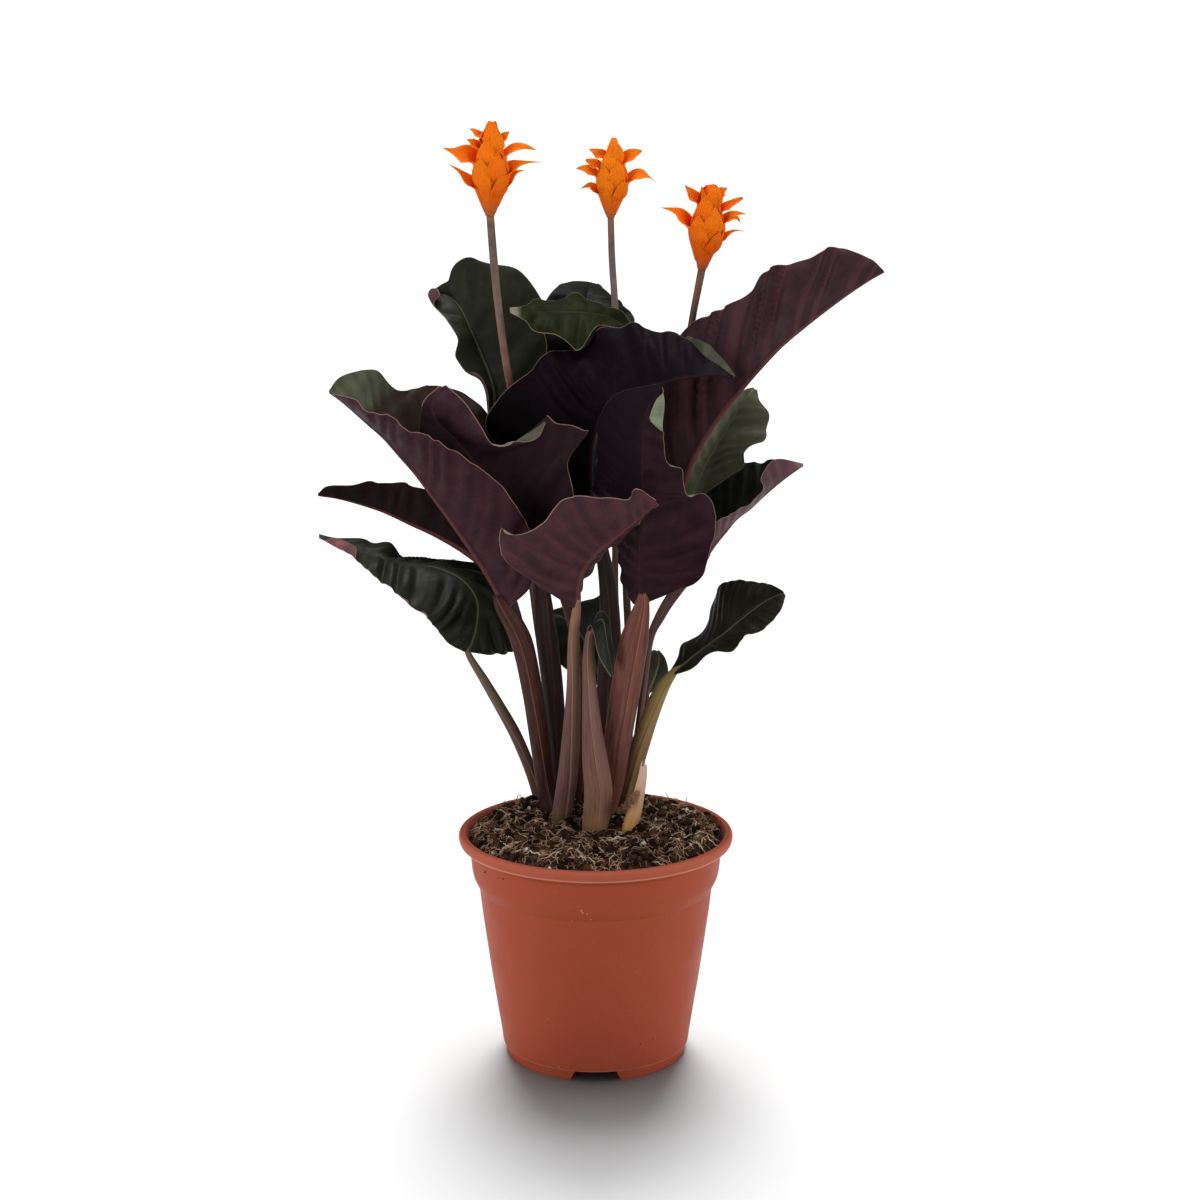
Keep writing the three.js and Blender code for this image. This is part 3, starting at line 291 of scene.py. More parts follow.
# Each blade is a list of stations from its base to its tip. A station gives the keel (midrib), the
# near margin and the far margin. cup bows each half out of flat, as a share of its width.
BLADES = {
    "upper_left": {
        "cup": 0.05,
        "keel": [[-53.5, 86, 34], [-53, 103, 38], [-55.5, 113, 42], [-58.5, 120.5, 45], [-62, 129, 48],
            [-65.5, 137, 51], [-69, 144.5, 55], [-72.5, 149.5, 59], [-77, 152.5, 63], [-83.5, 153, 68]],
        "near": [[-55.5, 86.5, 33], [-58.5, 107, 34], [-67, 114.5, 33], [-72.5, 121.5, 34], [-71, 131, 38],
            [-75.5, 138, 44], [-79, 142.5, 50], [-83, 147, 56], [-85, 150, 62], [-85, 152, 68]],
        "far": [[-51.5, 86.5, 34], [-43, 106, 36], [-33, 117, 38], [-28, 132, 44], [-29, 150, 52],
            [-41, 165, 60], [-56, 168.5, 64], [-66, 171, 66], [-74, 161, 67], [-83.5, 154.5, 68]],
    },
    "top_back": {
        "cup": 0.04,
        "keel": [[-2, 118, 60], [-5, 132, 66], [-7, 145, 74], [-6, 154, 84], [-4, 158, 96], [-2, 158, 107]],
        "near": [[-8, 115, 60], [-31, 125, 60], [-31, 140, 66], [-24, 154.5, 76], [-14, 159, 92],
            [-3.5, 158.5, 107]],
        "far": [[1, 118, 60], [12, 128, 66], [17.5, 141, 74], [11, 147.5, 84], [3, 155, 96],
            [-0.5, 158, 107]],
    },
    "top_centre": {
        "cup": 0.06,
        "keel": [[20, 128, 41], [12, 137, 37], [3, 142, 34.5], [-6, 143.5, 32], [-14, 144, 29],
            [-22, 144, 26], [-30, 144, 22], [-38, 144.5, 18], [-45, 145, 14]],
        "near": [[17.5, 126, 39], [10, 135.5, 24], [0, 137, 18], [-5.5, 132, 12], [-12, 125, 9],
            [-20, 131.5, 10], [-32, 134.5, 11], [-38, 140, 12], [-45, 143.8, 13.5]],
        "far": [[22, 130, 43.5], [15, 139.5, 43], [7, 146, 42], [-3, 149.5, 47], [-13, 152.5, 52],
            [-22, 150, 46], [-30, 150.5, 36], [-38, 147, 24], [-45, 146.2, 14.5]],
    },
    "crest": {
        "cup": 0.04,
        "keel": [[-4, 50, 17], [-5, 60, 13], [-5, 70, 9], [-4, 79.5, 5], [-1, 87, 1], [5, 94.5, -3],
            [12, 100.5, -7], [18, 103.5, -9], [24, 106, -10], [31, 108, -11], [38, 110, -12],
            [45, 111, -12], [52, 112, -12], [59, 112, -12], [66.5, 111, -12]],
        "near": [[-7, 49.5, 18], [-30, 60, 16], [-56.5, 83, 12], [-51, 100, 15], [-37, 113, 16],
            [-26, 123.5, 16], [-11, 125, 16], [-1, 135.6, 15], [10, 136, 13], [18, 138.5, 12],
            [28, 134.7, 11], [38, 133.5, 9], [47, 126.5, 4], [57, 119, -3], [66.5, 112.5, -12]],
        "far": [[-2, 50, 19], [3, 62, 28], [3, 75, 33], [1, 88, 35], [1, 98, 35], [7, 106, 34],
            [14, 111, 33], [21, 115, 31], [27, 119, 28], [33, 124, 25], [39, 130, 21], [45, 131.5, 16],
            [53, 128, 10], [62, 120, 2], [68, 112, -11]],
    },
    "front_left": {
        "cup": 0.06,
        "keel": [[-48, -3, 8], [-53, 7, 6], [-61, 20, 3], [-72, 36, -2], [-83, 51, -7], [-92, 63, -12],
            [-100, 72, -17], [-108, 81, -22], [-116, 88, -28], [-124, 95, -34], [-130, 100, -39],
            [-135, 103.5, -44]],
        "near": [[-45, -3.5, 5], [-34, 8, -4], [-33, 26, -10], [-41, 46, -17], [-57, 64, -24],
            [-73, 74, -30], [-84, 81.5, -34], [-95, 84, -38], [-103, 91, -42], [-116, 94, -44],
            [-122, 100, -45], [-134, 103, -45.5]],
        "far": [[-47.5, -1, 11], [-44, 18, 19], [-45, 38, 24], [-48, 58, 24], [-50, 76, 22],
            [-55, 92, 21], [-68, 103, 18], [-84, 107.5, 12], [-101, 104.5, 3], [-112, 115, -9],
            [-129, 112, -24], [-135.5, 105, -43]],
    },
    "inner_left": {
        "cup": 0.03,
        "keel": [[-29, 8, 14], [-33, 22, 10], [-39, 36, 7], [-45.5, 46, 4], [-52, 55, 1.5], [-58, 63, -1],
            [-65, 72, -4], [-72.5, 81, -6.5], [-80, 88.5, -9], [-84, 97, -11], [-79, 106.5, -10]],
        "near": [[-26, 8.5, 12], [-14, 34, 0], [-13, 52, -7], [-16, 69, -11], [-6, 86, -14],
            [-25.5, 87.5, -16], [-37, 80, -17], [-50, 76.5, -18], [-58, 84, -18], [-67, 98, -16],
            [-77, 107.5, -10]],
        "far": [[-31.5, 8, 14], [-38, 17, 12], [-46, 28, 9], [-54, 38, 6], [-62, 47, 3], [-69, 55, -0.5],
            [-77, 63, -4], [-84.5, 72, -8], [-90, 82, -12], [-89, 98, -13], [-80.5, 107, -10]],
    },
    "front_right": {
        "cup": 0.05,
        "keel": [[21, -2, -8], [21, 8, -12], [21, 18, -17], [21, 28, -21], [21, 38, -25], [21, 48, -29],
            [21, 58, -33], [21, 68, -37], [21.5, 79, -40], [23, 92, -43], [30, 107, -46]],
        "near": [[24.5, -1, -8], [39, 5, -6], [51, 12, -8], [56, 28, -14], [57.5, 43, -20],
            [51, 53.5, -26], [43, 57, -31], [40.5, 66, -36], [32.5, 73, -40], [30, 86, -44],
            [31, 106, -46]],
        "far": [[16.5, -2, -7], [10.5, 7, 3], [6.5, 18, 8], [2, 30, 9], [-2, 43, 8], [-3, 55, 3],
            [-2, 66, -4], [-1, 78, -12], [-1, 91, -21], [9, 103.5, -34], [28.5, 108, -45.5]],
    },
    "front_low": {
        "cup": 0.06,
        "keel": [[-12, -4, 2], [-11, 2, -2], [-10.5, 8, -6], [-9, 14, -10], [-6, 19, -14], [-1, 24.5, -19],
            [5, 29, -24], [11, 34, -29], [17, 39, -34], [23, 44, -39], [28.5, 48.5, -43.5]],
        "near": [[-14.5, -3.5, 0], [-33, 9, -12], [-49, 22, -24], [-49, 36, -32], [-38, 34.5, -30],
            [-25, 43, -33], [-14, 52, -36], [2, 51, -40], [14, 50.5, -42], [18, 56, -46], [28, 50, -44]],
        "far": [[-10, -4, 3.5], [-9.3, 2.5, 5], [-8.2, 9, 4], [-4.5, 15, 1], [0.5, 20, -4], [5.5, 27, -11],
            [12, 31, -16], [16.5, 36, -24], [20.5, 40, -31], [25, 44, -37], [29.5, 47.5, -42.5]],
    },
    "low_left": {
        "cup": 0.05,
        "keel": [[-66, -26, 28], [-63, -18, 29], [-61.3, -9, 31], [-61.5, -1, 34], [-65, 6, 37],
            [-72, 12, 40], [-82, 16, 43], [-95, 18, 46], [-109, 20.5, 49], [-124, 25.5, 53],
            [-140.5, 32, 57]],
        "near": [[-67.8, -26, 27], [-76, -21.5, 20], [-82, -14, 17], [-87, -8.5, 16], [-93, -4.5, 17],
            [-100, 2, 19], [-108, 8, 23], [-116, 14.5, 29], [-122, 20.5, 37], [-131, 25.5, 46],
            [-140.5, 31, 56]],
        "far": [[-64, -26.2, 30], [-53, -27.5, 37], [-43, -25, 44], [-39, -12, 50], [-43, 6, 54],
            [-56, 15.5, 58], [-70, 20, 61], [-86, 18.7, 62], [-102, 26.5, 62], [-120, 31, 60],
            [-140.5, 33, 58]],
    },
    "mid_left": {
        "cup": 0.05,
        "keel": [[-48, 8, 34], [-57, 15.5, 40], [-69, 24.5, 46], [-82, 32, 52], [-95, 38, 58],
            [-108, 44, 63], [-122, 48.5, 68], [-132, 51, 71], [-141, 52.3, 74]],
        "near": [[-46, 10, 34], [-48, 24, 44], [-56, 38, 51], [-70, 49, 57], [-86, 54.5, 61],
            [-99, 58.5, 65], [-115, 59.5, 69], [-130, 57.5, 71], [-141, 53.3, 73]],
        "far": [[-49, 10, 36], [-46, 22, 58], [-54, 34, 74], [-68, 44, 84], [-82, 49, 90], [-96, 53, 92],
            [-112, 55, 90], [-128, 55.5, 84], [-141, 53, 75.2]],
    },
    "upper_right": {
        "cup": 0.04,
        "keel": [[36, 42, 12], [41.5, 56, 14], [46, 69, 15], [53, 81.5, 16], [61, 93, 16], [70, 104, 15],
            [80, 115.5, 14], [91, 127, 12], [103, 137, 10], [114, 145.5, 8], [125, 153.5, 5],
            [135, 160, 2], [142, 164, 0]],
        "near": [[33.5, 43, 15], [28, 62, 27], [26, 82, 35], [27, 102, 39], [33, 122, 41], [46, 138, 40],
            [60, 145.5, 36], [75, 154, 31], [84, 165.5, 26], [104, 170.3, 20], [116, 176.5, 14],
            [134, 171.3, 7], [141.5, 165.2, 0]],
        "far": [[38.5, 43.5, 15], [44, 61, 36], [48, 77, 52], [55, 92, 62], [64, 105, 68], [75, 116, 70],
            [86, 126, 68], [98, 136, 62], [109, 144.5, 53], [119, 151, 42], [128, 157, 28],
            [136, 161.5, 14], [142.3, 164.3, 1.6]],
    },
    "mid_right": {
        "cup": 0.05,
        "keel": [[44, 48, 42], [48, 57, 47], [52, 66, 52], [57, 75, 57], [62, 83.5, 61], [66.5, 91, 65],
            [71, 98, 68], [74.5, 103, 71], [77.3, 105.5, 74]],
        "near": [[46.5, 48.5, 40], [61, 59.5, 40], [71.5, 66, 44], [72.5, 75, 50], [82, 79.5, 56],
            [83.5, 86, 62], [84.5, 93, 66], [80, 99, 70], [78.6, 105, 73]],
        "far": [[42, 49, 43], [43, 60, 56], [46, 69.5, 68], [51, 79, 78], [57, 88, 84], [62, 95, 87],
            [67, 101, 86], [72, 105, 82], [76.5, 106.3, 75]],
    },
    "side_right": {
        "cup": 0.04,
        "keel": [[50, 18, 20], [57, 28, 24], [62.5, 34.5, 27], [68, 40.8, 30], [75, 46, 33],
            [81, 51.5, 35], [88, 57.5, 37], [95, 62.8, 39], [101.5, 67.2, 40]],
        "near": [[48, 19.5, 18], [56.5, 37.5, 12], [61, 41, 12], [68.5, 44, 15], [76, 49.5, 18],
            [81.5, 56, 20], [81.5, 63.5, 23], [88, 70.5, 29], [101.5, 68.3, 39.2]],
        "far": [[51, 20, 23], [50, 40, 40], [53, 54, 50], [60, 63, 57], [70, 67.5, 60], [76, 68.7, 60],
            [81, 68.7, 57], [87, 70.3, 51], [102, 67, 41.5]],
    },
    "low_right": {
        "cup": 0.06,
        "keel": [[36, -36.5, 4], [43, -31, 0], [50, -25.5, -4], [56, -21, -8], [63, -16, -12],
            [71, -9.5, -16], [80, -2.5, -20], [87, 1.5, -23], [92, 3.3, -25]],
        "near": [[37, -37.5, 2.5], [45, -34.8, -8], [51.5, -29.5, -16], [57, -26, -22], [67, -25, -28],
            [73, -18, -32], [82, -14.5, -34], [90, -6, -32], [92.8, 2.2, -26]],
        "far": [[35, -35.5, 5.5], [38.8, -29, 10], [42, -21.5, 16], [51, -16, 18], [56, -5, 18],
            [60, 8, 13], [72, 9.3, 4], [84, 8.2, -9], [91.5, 4.6, -24]],
    },
    "low_back": {
        "cup": 0.04,
        "keel": [[0, -42, 47], [-3, -30, 51], [-8, -20, 55], [-13, -13, 59], [-18, -9, 62],
            [-24, -6.5, 65]],
        "near": [[-1.5, -42.5, 46.5], [-12, -37, 48], [-19, -33, 51], [-24, -25, 55], [-26, -14, 60],
            [-25, -7.5, 64]],
        "far": [[2, -41.5, 48], [8, -20, 54], [6, 2.5, 58], [-4, 0.8, 62], [-15, -2.2, 65],
            [-24, -5, 66]],
    },
    "young_front": {
        "cup": 0.05,
        "keel": [[-5, -16, 2], [-2, -11, -2], [1.5, -10, -6], [3, -18, -9], [4.5, -28, -11],
            [6.5, -38, -12]],
        "near": [[-6.5, -15, 0], [-5, -12.5, -6], [-3, -17, -11], [-1.5, -25, -14], [2, -33, -15],
            [5.6, -38.5, -12.8]],
        "far": [[-4, -15, 3.5], [-1, -6.5, 4], [4, -8, 2], [5.8, -17, -1], [6.8, -29, -5],
            [7.2, -38, -11]],
    },
    "young_right": {
        "cup": 0.04,
        "keel": [[24, -46.5, 26], [26.5, -41, 29], [28.5, -35, 33], [29.5, -29.5, 38], [28.5, -25.5, 42]],
        "near": [[23, -46, 25.5], [22, -38, 28], [22.5, -30, 33], [24.5, -26, 38], [27, -25, 42]],
        "far": [[25, -46.8, 27], [30, -42, 31], [34, -37, 35], [33, -30, 40], [29.5, -25, 43]],
    },
}

# A stem stands on the soil at foot [x, y] with half-width footWidth and follows its via points
# [u, v, y, half-width]. A leaf stalk ends at its blade's first keel point.
LEAF_STALKS = {
    "upper_left": {"foot": [-13, 43], "footWidth": 2, "endWidth": 1.6,
        "via": [[-19, -85, 44, 2], [-26, -45, 43, 2], [-31, -15, 42, 2], [-35, 15, 40, 2],
            [-41, 43, 38, 2], [-48, 67, 36, 1.8]]},
    "top_back": {"foot": [-1.5, 36.5], "footWidth": 2, "endWidth": 1.6,
        "via": [[-0.5, -75, 37, 2], [0.5, -45, 38, 2], [1, -20, 40, 2], [2, 10, 45, 2], [2, 50, 51, 1.9],
            [0, 90, 56, 1.8]]},
    "top_centre": {"foot": [5.5, 41], "footWidth": 2, "endWidth": 1.5,
        "via": [[9, -75, 41, 2], [12, -45, 40, 2], [14, -20, 40, 2], [13, 12, 41, 1.9],
            [15, 50, 42, 1.8], [18, 95, 42, 1.6]]},
    "crest": {"foot": [0.5, 22], "footWidth": 3.6, "endWidth": 2.2,
        "via": [[1, -90, 22.5, 3.8], [1.5, -70, 22.5, 4.2], [3, -45, 21.5, 5], [5, -20, 20, 5.6],
            [4, 5, 19, 4.6], [0, 30, 18.5, 3]]},
    "front_left": {"foot": [-23, 22], "footWidth": 5.8, "endWidth": 4.4,
        "via": [[-27, -92, 21.5, 5], [-30.2, -70, 18.5, 5.2], [-34, -45, 14.5, 5.3],
            [-39.6, -20, 11, 5.6]]},
    "inner_left": {"foot": [-15.5, 30.5], "footWidth": 4.4, "endWidth": 3.4,
        "via": [[-18.5, -92, 30.5, 4.6], [-21.2, -70, 29.5, 4.8], [-23.6, -45, 26.5, 5.4],
            [-26.5, -20, 22.5, 5.8]]},
    "front_right": {"foot": [4, 9.5], "footWidth": 5, "endWidth": 3.6,
        "via": [[6, -92, 8, 5.8], [8.8, -70, 5.5, 7], [12.6, -45, 1, 7.6], [17, -20, -4, 7.2]]},
    "front_low": {"foot": [-18, 8], "footWidth": 5, "endWidth": 2.2,
        "via": [[-16.6, -90, 7, 5.2], [-14.8, -70, 6, 4.6], [-13.4, -45, 5, 3.6], [-13.2, -20, 3.5, 3]]},
    "low_left": {"foot": [-29.5, 37.5], "footWidth": 3, "endWidth": 1.6,
        "via": [[-34.5, -86, 36, 3.1], [-42, -68, 34, 3.1], [-50, -53.5, 32, 2.8], [-58, -40, 30, 2.4]]},
    "mid_left": {"foot": [-20.5, 43], "footWidth": 2, "endWidth": 1.6,
        "via": [[-28, -70, 38, 2], [-33, -45, 35, 2], [-38.5, -20, 33, 2]]},
    "upper_right": {"foot": [10, 22], "footWidth": 2.2, "endWidth": 1.8,
        "via": [[10.5, -85, 22.5, 2.2], [12.5, -60, 21, 2.2], [15.5, -30, 18, 2.2], [20, 0, 15.5, 2.2],
            [28, 22, 13, 2]]},
    "mid_right": {"foot": [13, 38], "footWidth": 2, "endWidth": 1.6,
        "via": [[14, -75, 38, 2], [15, -50, 36.5, 2], [18, -20, 36, 2], [22, 2, 36, 1.9],
            [33, 26, 38.5, 1.8]]},
    "side_right": {"foot": [17.5, 25], "footWidth": 1.8, "endWidth": 1.8,
        "via": [[15.5, -88, 26, 1.8], [18.5, -68, 26, 1.8], [21.6, -45, 24, 1.7], [25, -20, 23, 1.8],
            [29.5, -9, 22, 2.6], [37, 3, 21, 3]]},
    "low_right": {"foot": [14.5, 14], "footWidth": 4, "endWidth": 2.2,
        "via": [[15.8, -90, 13.5, 4.4], [20.8, -70, 11.5, 4.8], [29.5, -47, 8, 3.8]]},
    "low_back": {"foot": [-8, 41], "footWidth": 2, "endWidth": 1.4,
        "via": [[-6, -85, 42.5, 2], [-3, -65, 45, 1.8]]},
    "young_front": {"foot": [-0.5, -8], "footWidth": 6.6, "endWidth": 2.2,
        "via": [[-1, -96, -7.5, 7.2], [-2.4, -82, -7, 6.6], [-4, -66, -6, 5.2], [-5.3, -45, -4, 3.6],
            [-5.8, -28, -2, 3]]},
    "young_right": {"foot": [20.5, 30], "footWidth": 1.6, "endWidth": 1.2,
        "via": [[21, -75, 29, 1.6], [22.5, -60, 27.5, 1.5]]},
}

# Bare stalks that carry the three flower heads.
FLOWER_STALKS = {
    "left": {"foot": [-9.5, 36], "footWidth": 2, "endWidth": 1.9, "end": [-55, 193, 28],
        "via": [[-9.8, -80, 36.5, 2.1], [-9.8, -45, 36, 2.1], [-12.5, -20, 35.5, 2], [-21, 10, 34, 1.9],
            [-35, 60, 31.5, 1.8], [-45.3, 109, 28.5, 1.9], [-50, 140, 28, 1.9], [-53, 168, 28, 2]]},
    "centre": {"foot": [5.5, 33], "footWidth": 2, "endWidth": 1.6, "end": [5.3, 192, 47],
        "via": [[5.5, -75, 34.5, 1.8], [4, -45, 36, 1.7], [8, -20, 37, 1.7], [7.5, 10, 40, 1.7],
            [8, 50, 42.5, 1.7], [8.5, 100, 45, 1.7], [7.5, 145, 46, 1.7], [6, 170, 46.5, 1.7]]},
    "right": {"foot": [13, 31], "footWidth": 2, "endWidth": 2, "end": [51, 166, 50],
        "via": [[12.5, -75, 31.5, 1.8], [17, -45, 30.5, 1.8], [20.5, -20, 29.5, 1.7], [22, 20, 30, 1.7],
            [23.5, 50, 36, 1.7], [26.5, 75, 43, 1.7], [33, 98, 47, 1.7], [43, 126, 49, 1.7],
            [47.5, 148, 50, 1.8]]},
}


# ---- Blades ----

# The finish and fine shape of each blade. shows is the face that the near half turns to the front,
# and upper and under are the colours of the two faces. pleat is [depth, spacing] of the folds
# between side veins in mm, and lean how far a vein runs towards the tip per mm outwards. back gives
# the far half its own [cup, share of the pleats]. A curl is [margin, first station, last station,
# radius, turn over the shown face, width of the flap past the turn]. A pale patch, or a dark patch of
# painted shade where the blade lies in shadow, is [half, first station, last station, strength, share
# of the half's width where it starts]. rib is the colour of the midrib on both faces, shade the
# colour of the painted shade, gloss the shine, ridge how strong the painted highlight in the pleats'
# bands is and veins how clearly the fine veins show, edge the width of the pale margin, and wave
# how much the margin ripples. trim is the finer outline of a margin as [station, u, v].
LEAF_LOOKS = {
    "upper_left": {
        "shows": "upper", "upper": "#1c1e14", "under": "#4a3236", "pleat": [0.8, 13], "lean": 0.5,
        "curls": [["near", 0.2, 1.9, 1.0, 140, 0.5], ["near", 6.9, 8.8, 1.4, 165, 5]],
        "gloss": 0.08,
        "trim": {"far": [[0.9, -44, 104], [1.5, -36, 110], [2, -28, 118], [2.5, -26.5, 127],
                         [3, -28, 134], [3.5, -28.5, 142], [4, -29, 150], [5, -41, 165],
                         [6, -56, 168.5], [7, -65, 171.3], [7.4, -71, 169], [7.7, -74, 165],
                         [8, -75.5, 160], [8.4, -79, 158], [9, -84, 154.5]]},
    },
    "top_back": {
        "shows": "upper", "upper": "#12150f", "under": "#3c2a31", "pleat": [0.7, 11], "lean": 0.3,
        "gloss": 0.05, "rib": "#20241a",
    },
    "top_centre": {
        "shows": "upper", "upper": "#1c200e", "under": "#3c282e", "pleat": [1.1, 10], "lean": 0.2,
        "gloss": 0.02, "rib": "#33361d",
        "pale": [["near", 7.4, 9, 0.5, 0], ["far", 7.4, 9, 0.5, 0]],
    },
    # The under colour is the leaf's own dark purple, made darker still as painted shade where the crest
    # lies deep in the clump's shadow, and its dark patches paint more shade.
    "crest": {
        "shows": "under", "upper": "#3a392e", "under": "#0f060c", "pleat": [0.8, 9], "lean": 0.2,
        "curls": [["far", 11.2, 14, 0.8, 160, 0.7]], "rib": "#2a181c", "gloss": 0.03,
        "dark": [["near", -1, 3.4, 0.7, 0], ["far", -1, 6, 0.7, 0]],
    },
    "front_left": {
        "shows": "under", "upper": "#474a3b", "under": "#321921", "pleat": [1.1, 11], "lean": 1.0,
        "dark": [["far", -1, 8.3, 0.9, 0]], "shade": "#271717",
    },
    # The upper colour shows only on the curled flap at the margin: pale like the real margin, and paler
    # still as painted highlight where the curl catches the light.
    "inner_left": {
        "shows": "under", "upper": "#6f6a5f", "under": "#39262c", "pleat": [0.6, 12], "lean": 0.5,
        "curls": [["near", 5.2, 5.4, 1.0, 170, 1.5]], "edge": 0.5, "gloss": 0.04,
        "dark": [["far", -1, 9.1, 0.92, 0.1], ["near", -1, 6.2, 0.7, 0.2]],
        "trim": {"near": [[4, -8, 85], [4.5, -15, 87], [4.9, -22, 88.5], [5.15, -26.3, 92.5],
                          [5.4, -27.6, 88.5], [5.7, -30, 83], [5.9, -33, 80.2], [6.1, -38, 78.8],
                          [7, -50, 76.5]]},
    },
    "front_right": {
        "shows": "under", "upper": "#68725a", "under": "#27171c", "pleat": [0.6, 9], "lean": 0.3,
        "curls": [["near", 8.8, 9.9, 2.2, 172, 11]], "rib": "#28161b", "gloss": 0.03,
        "dark": [["far", 3.8, 11, 0.95, 0]], "shade": "#150e14",
        "trim": {"far": [[0.5, 15, 2], [1, 11.5, 8], [2, 9, 18], [3, 8.5, 30], [3.6, 7.5, 37],
                         [4.1, 4.5, 43], [4.6, 0, 49], [5, -3, 55]],
                 "near": [[4, 57.5, 43], [4.5, 56, 49.5], [5, 51, 53.5], [5.5, 46, 52], [6, 43, 53.5],
                          [6.4, 42, 58], [7, 41, 65.5], [7.5, 36, 66.8], [8, 32.8, 71], [8.5, 32, 79],
                          [9, 31, 88], [9.5, 32, 98], [10, 31, 106.5]]},
    },
    "front_low": {
        "shows": "under", "upper": "#7a6a5c", "under": "#3e252a", "pleat": [0.7, 8], "lean": 0.1,
        "curls": [["near", 8.7, 9.6, 1.0, 110, 0], ["near", 2.9, 3.6, 0.6, 90, 0]], "edge": 0.5,
        "trim": {"near": [[2, -49.5, 22], [2.5, -50.5, 29], [3, -49.3, 36.3], [3.2, -46.5, 34],
                          [3.5, -42, 32.7], [4, -35, 34.7], [4.6, -28, 39], [5, -23.5, 44.5],
                          [5.5, -19, 50], [6, -13, 52]]},
    },
    "low_left": {
        "shows": "upper", "upper": "#22241a", "under": "#63423f", "pleat": [2.4, 11], "lean": -0.8,
        "ridge": 0.35,
        "curls": [["near", 8.1, 9.6, 1.6, 165, 3.0], ["near", 4.3, 5.2, 0.9, 140, 0],
                  ["near", 2.9, 3.6, 0.9, 140, 0]],
        "trim": {"far": [[4.7, -58, 15], [6, -71, 20], [6.6, -79, 18.5], [7, -86, 19], [7.5, -93, 20],
                         [7.8, -99.5, 22], [8, -104, 28], [8.5, -112.5, 28.5], [9, -120, 31],
                         [9.5, -132, 31], [10, -140.5, 33]]},
    },
    "mid_left": {
        "shows": "under", "upper": "#22261f", "under": "#190c0e", "pleat": [0.6, 10], "lean": 0.5,
        "gloss": 0.04,
        "trim": {"near": [[3.8, -83, 54.5], [4.1, -87.5, 55.5], [4.6, -94.5, 57], [5, -98.5, 59],
                          [5.7, -110.5, 58.5], [6, -115, 59.5], [6.5, -123.5, 57.5], [7.3, -136, 57],
                          [8, -141, 53.3]]},
    },
    "upper_right": {
        "shows": "under", "upper": "#2a2f25", "under": "#352125", "pleat": [2.6, 16], "lean": 1.1,
        "ridge": 0.6, "wave": 0.3, "veins": 0.4, "back": [-0.03, 0.1],
    },
    "mid_right": {
        "shows": "upper", "upper": "#4b4c3b", "under": "#3c282e", "pleat": [0.6, 9], "lean": 0.5,
    },
    "side_right": {
        "shows": "under", "upper": "#272d22", "under": "#4d343a", "pleat": [0.7, 8], "lean": 0.3,
        "pale": [["near", 7.75, 8, 0.5, 0], ["far", 7.75, 8, 0.5, 0]],
    },
    "low_right": {
        "shows": "upper", "upper": "#15130b", "under": "#3c282e", "pleat": [0.9, 6.5], "lean": 0.7,
    },
    "low_back": {
        "shows": "upper", "upper": "#141713", "under": "#2d1f24", "pleat": [0.4, 8], "lean": 0.4,
    },
    "young_front": {
        "shows": "upper", "upper": "#1d221a", "under": "#3c282e", "pleat": [0.2, 5], "lean": 0.4,
    },
    "young_right": {
        "shows": "upper", "upper": "#25231b", "under": "#4d3838", "pleat": [0.2, 5], "lean": 0.4,
    },
}
LEAF_THICKNESS = 0.45
RIB_HEIGHT = [1.4, 0.2]  # of the midrib at the base and the tip, mm
RIB_WIDTH = [1.6, 0.5]
RIB_SUNK = 0.35  # how deep the midrib's groove in the upper face is, as a share of its height
MARGIN_THICKNESS = 0.24
THINNING = 2.5  # mm over which a blade thins towards its margin
ROWS_PER_STATION = 11
STATION_BLEND = 0.3  # half the length, in stations, over which a curl or patch begins and ends
KEEL_COLUMNS = np.array([0, 0.35, 0.75, 1.2, 1.8, 2.6])  # mm out from the keel
FIELD_COLUMNS = 14
EDGE_COLUMNS = np.array([1.5, 0.5, 0.0])  # mm in from the margin
LIP_COLUMNS = 9
LIP_RADIUS = 0.5  # every margin turns up a little towards the upper face
LIP_TURN = math.radians(35)
FULL_WIDTH = 9.0  # halves narrower than this crowd their keel and edge columns in proportion
FOLDED_WIDTH = 25.0  # halves narrower than this have lower pleats and waves in proportion
LEAST_WIDTH = 0.2
LEAF_GLOSS = 0.09
EDGE_WIDTH = 0.32  # mm of pale margin
# The dark patches of a blade are painted shade.
PAINTED_SHADE_SHARE = 0.3  # how much of its tone a dark patch keeps


def half_places(width):
    """Distance from the keel of each column of a half blade, for each row's half-width."""
    scale = np.minimum(1, width / FULL_WIDTH)[:, None]
    inner = KEEL_COLUMNS * scale
    outer = width[:, None] - EDGE_COLUMNS * scale
    share = np.linspace(0, 1, FIELD_COLUMNS + 2)[1:-1]
    field = inner[:, -1:] + (outer[:, :1] - inner[:, -1:]) * share
    return np.concatenate([inner, field, outer], 1)


def stretch(stations, first, last):
    """1 between two stations and 0 beyond them, with soft ends."""
    rise = smoothstep(first - STATION_BLEND, first + STATION_BLEND, stations)
    return rise * (1 - smoothstep(last - STATION_BLEND, last + STATION_BLEND, stations))


def margin_line(blade, look, side, stations):
    """A margin in [u, v, y], with its finer outline where the look gives one."""
    line = spline(blade[side], stations)
    if side in look.get("trim", {}):
        fine = np.array(look["trim"][side], float)
        inside = (stations >= fine[0, 0]) & (stations <= fine[-1, 0])
        places = np.interp(stations[inside], fine[:, 0], np.arange(len(fine)))
        line[inside, :2] = spline(fine[:, 1:], places)
    return line


def patches(look, kind, stations, is_far, tau):
    """Strength of the pale patches or of the painted shade at each point of a blade's grid."""
    total = np.zeros((len(stations), len(is_far)))
    for half, first, last, strength, start in look.get(kind, []):
        along = strength * stretch(stations, first, last)[:, None]
        across = (is_far[None] == (half == "far")) * smoothstep(start - 0.15, start + 0.15, tau)
        total += along * across
    return total


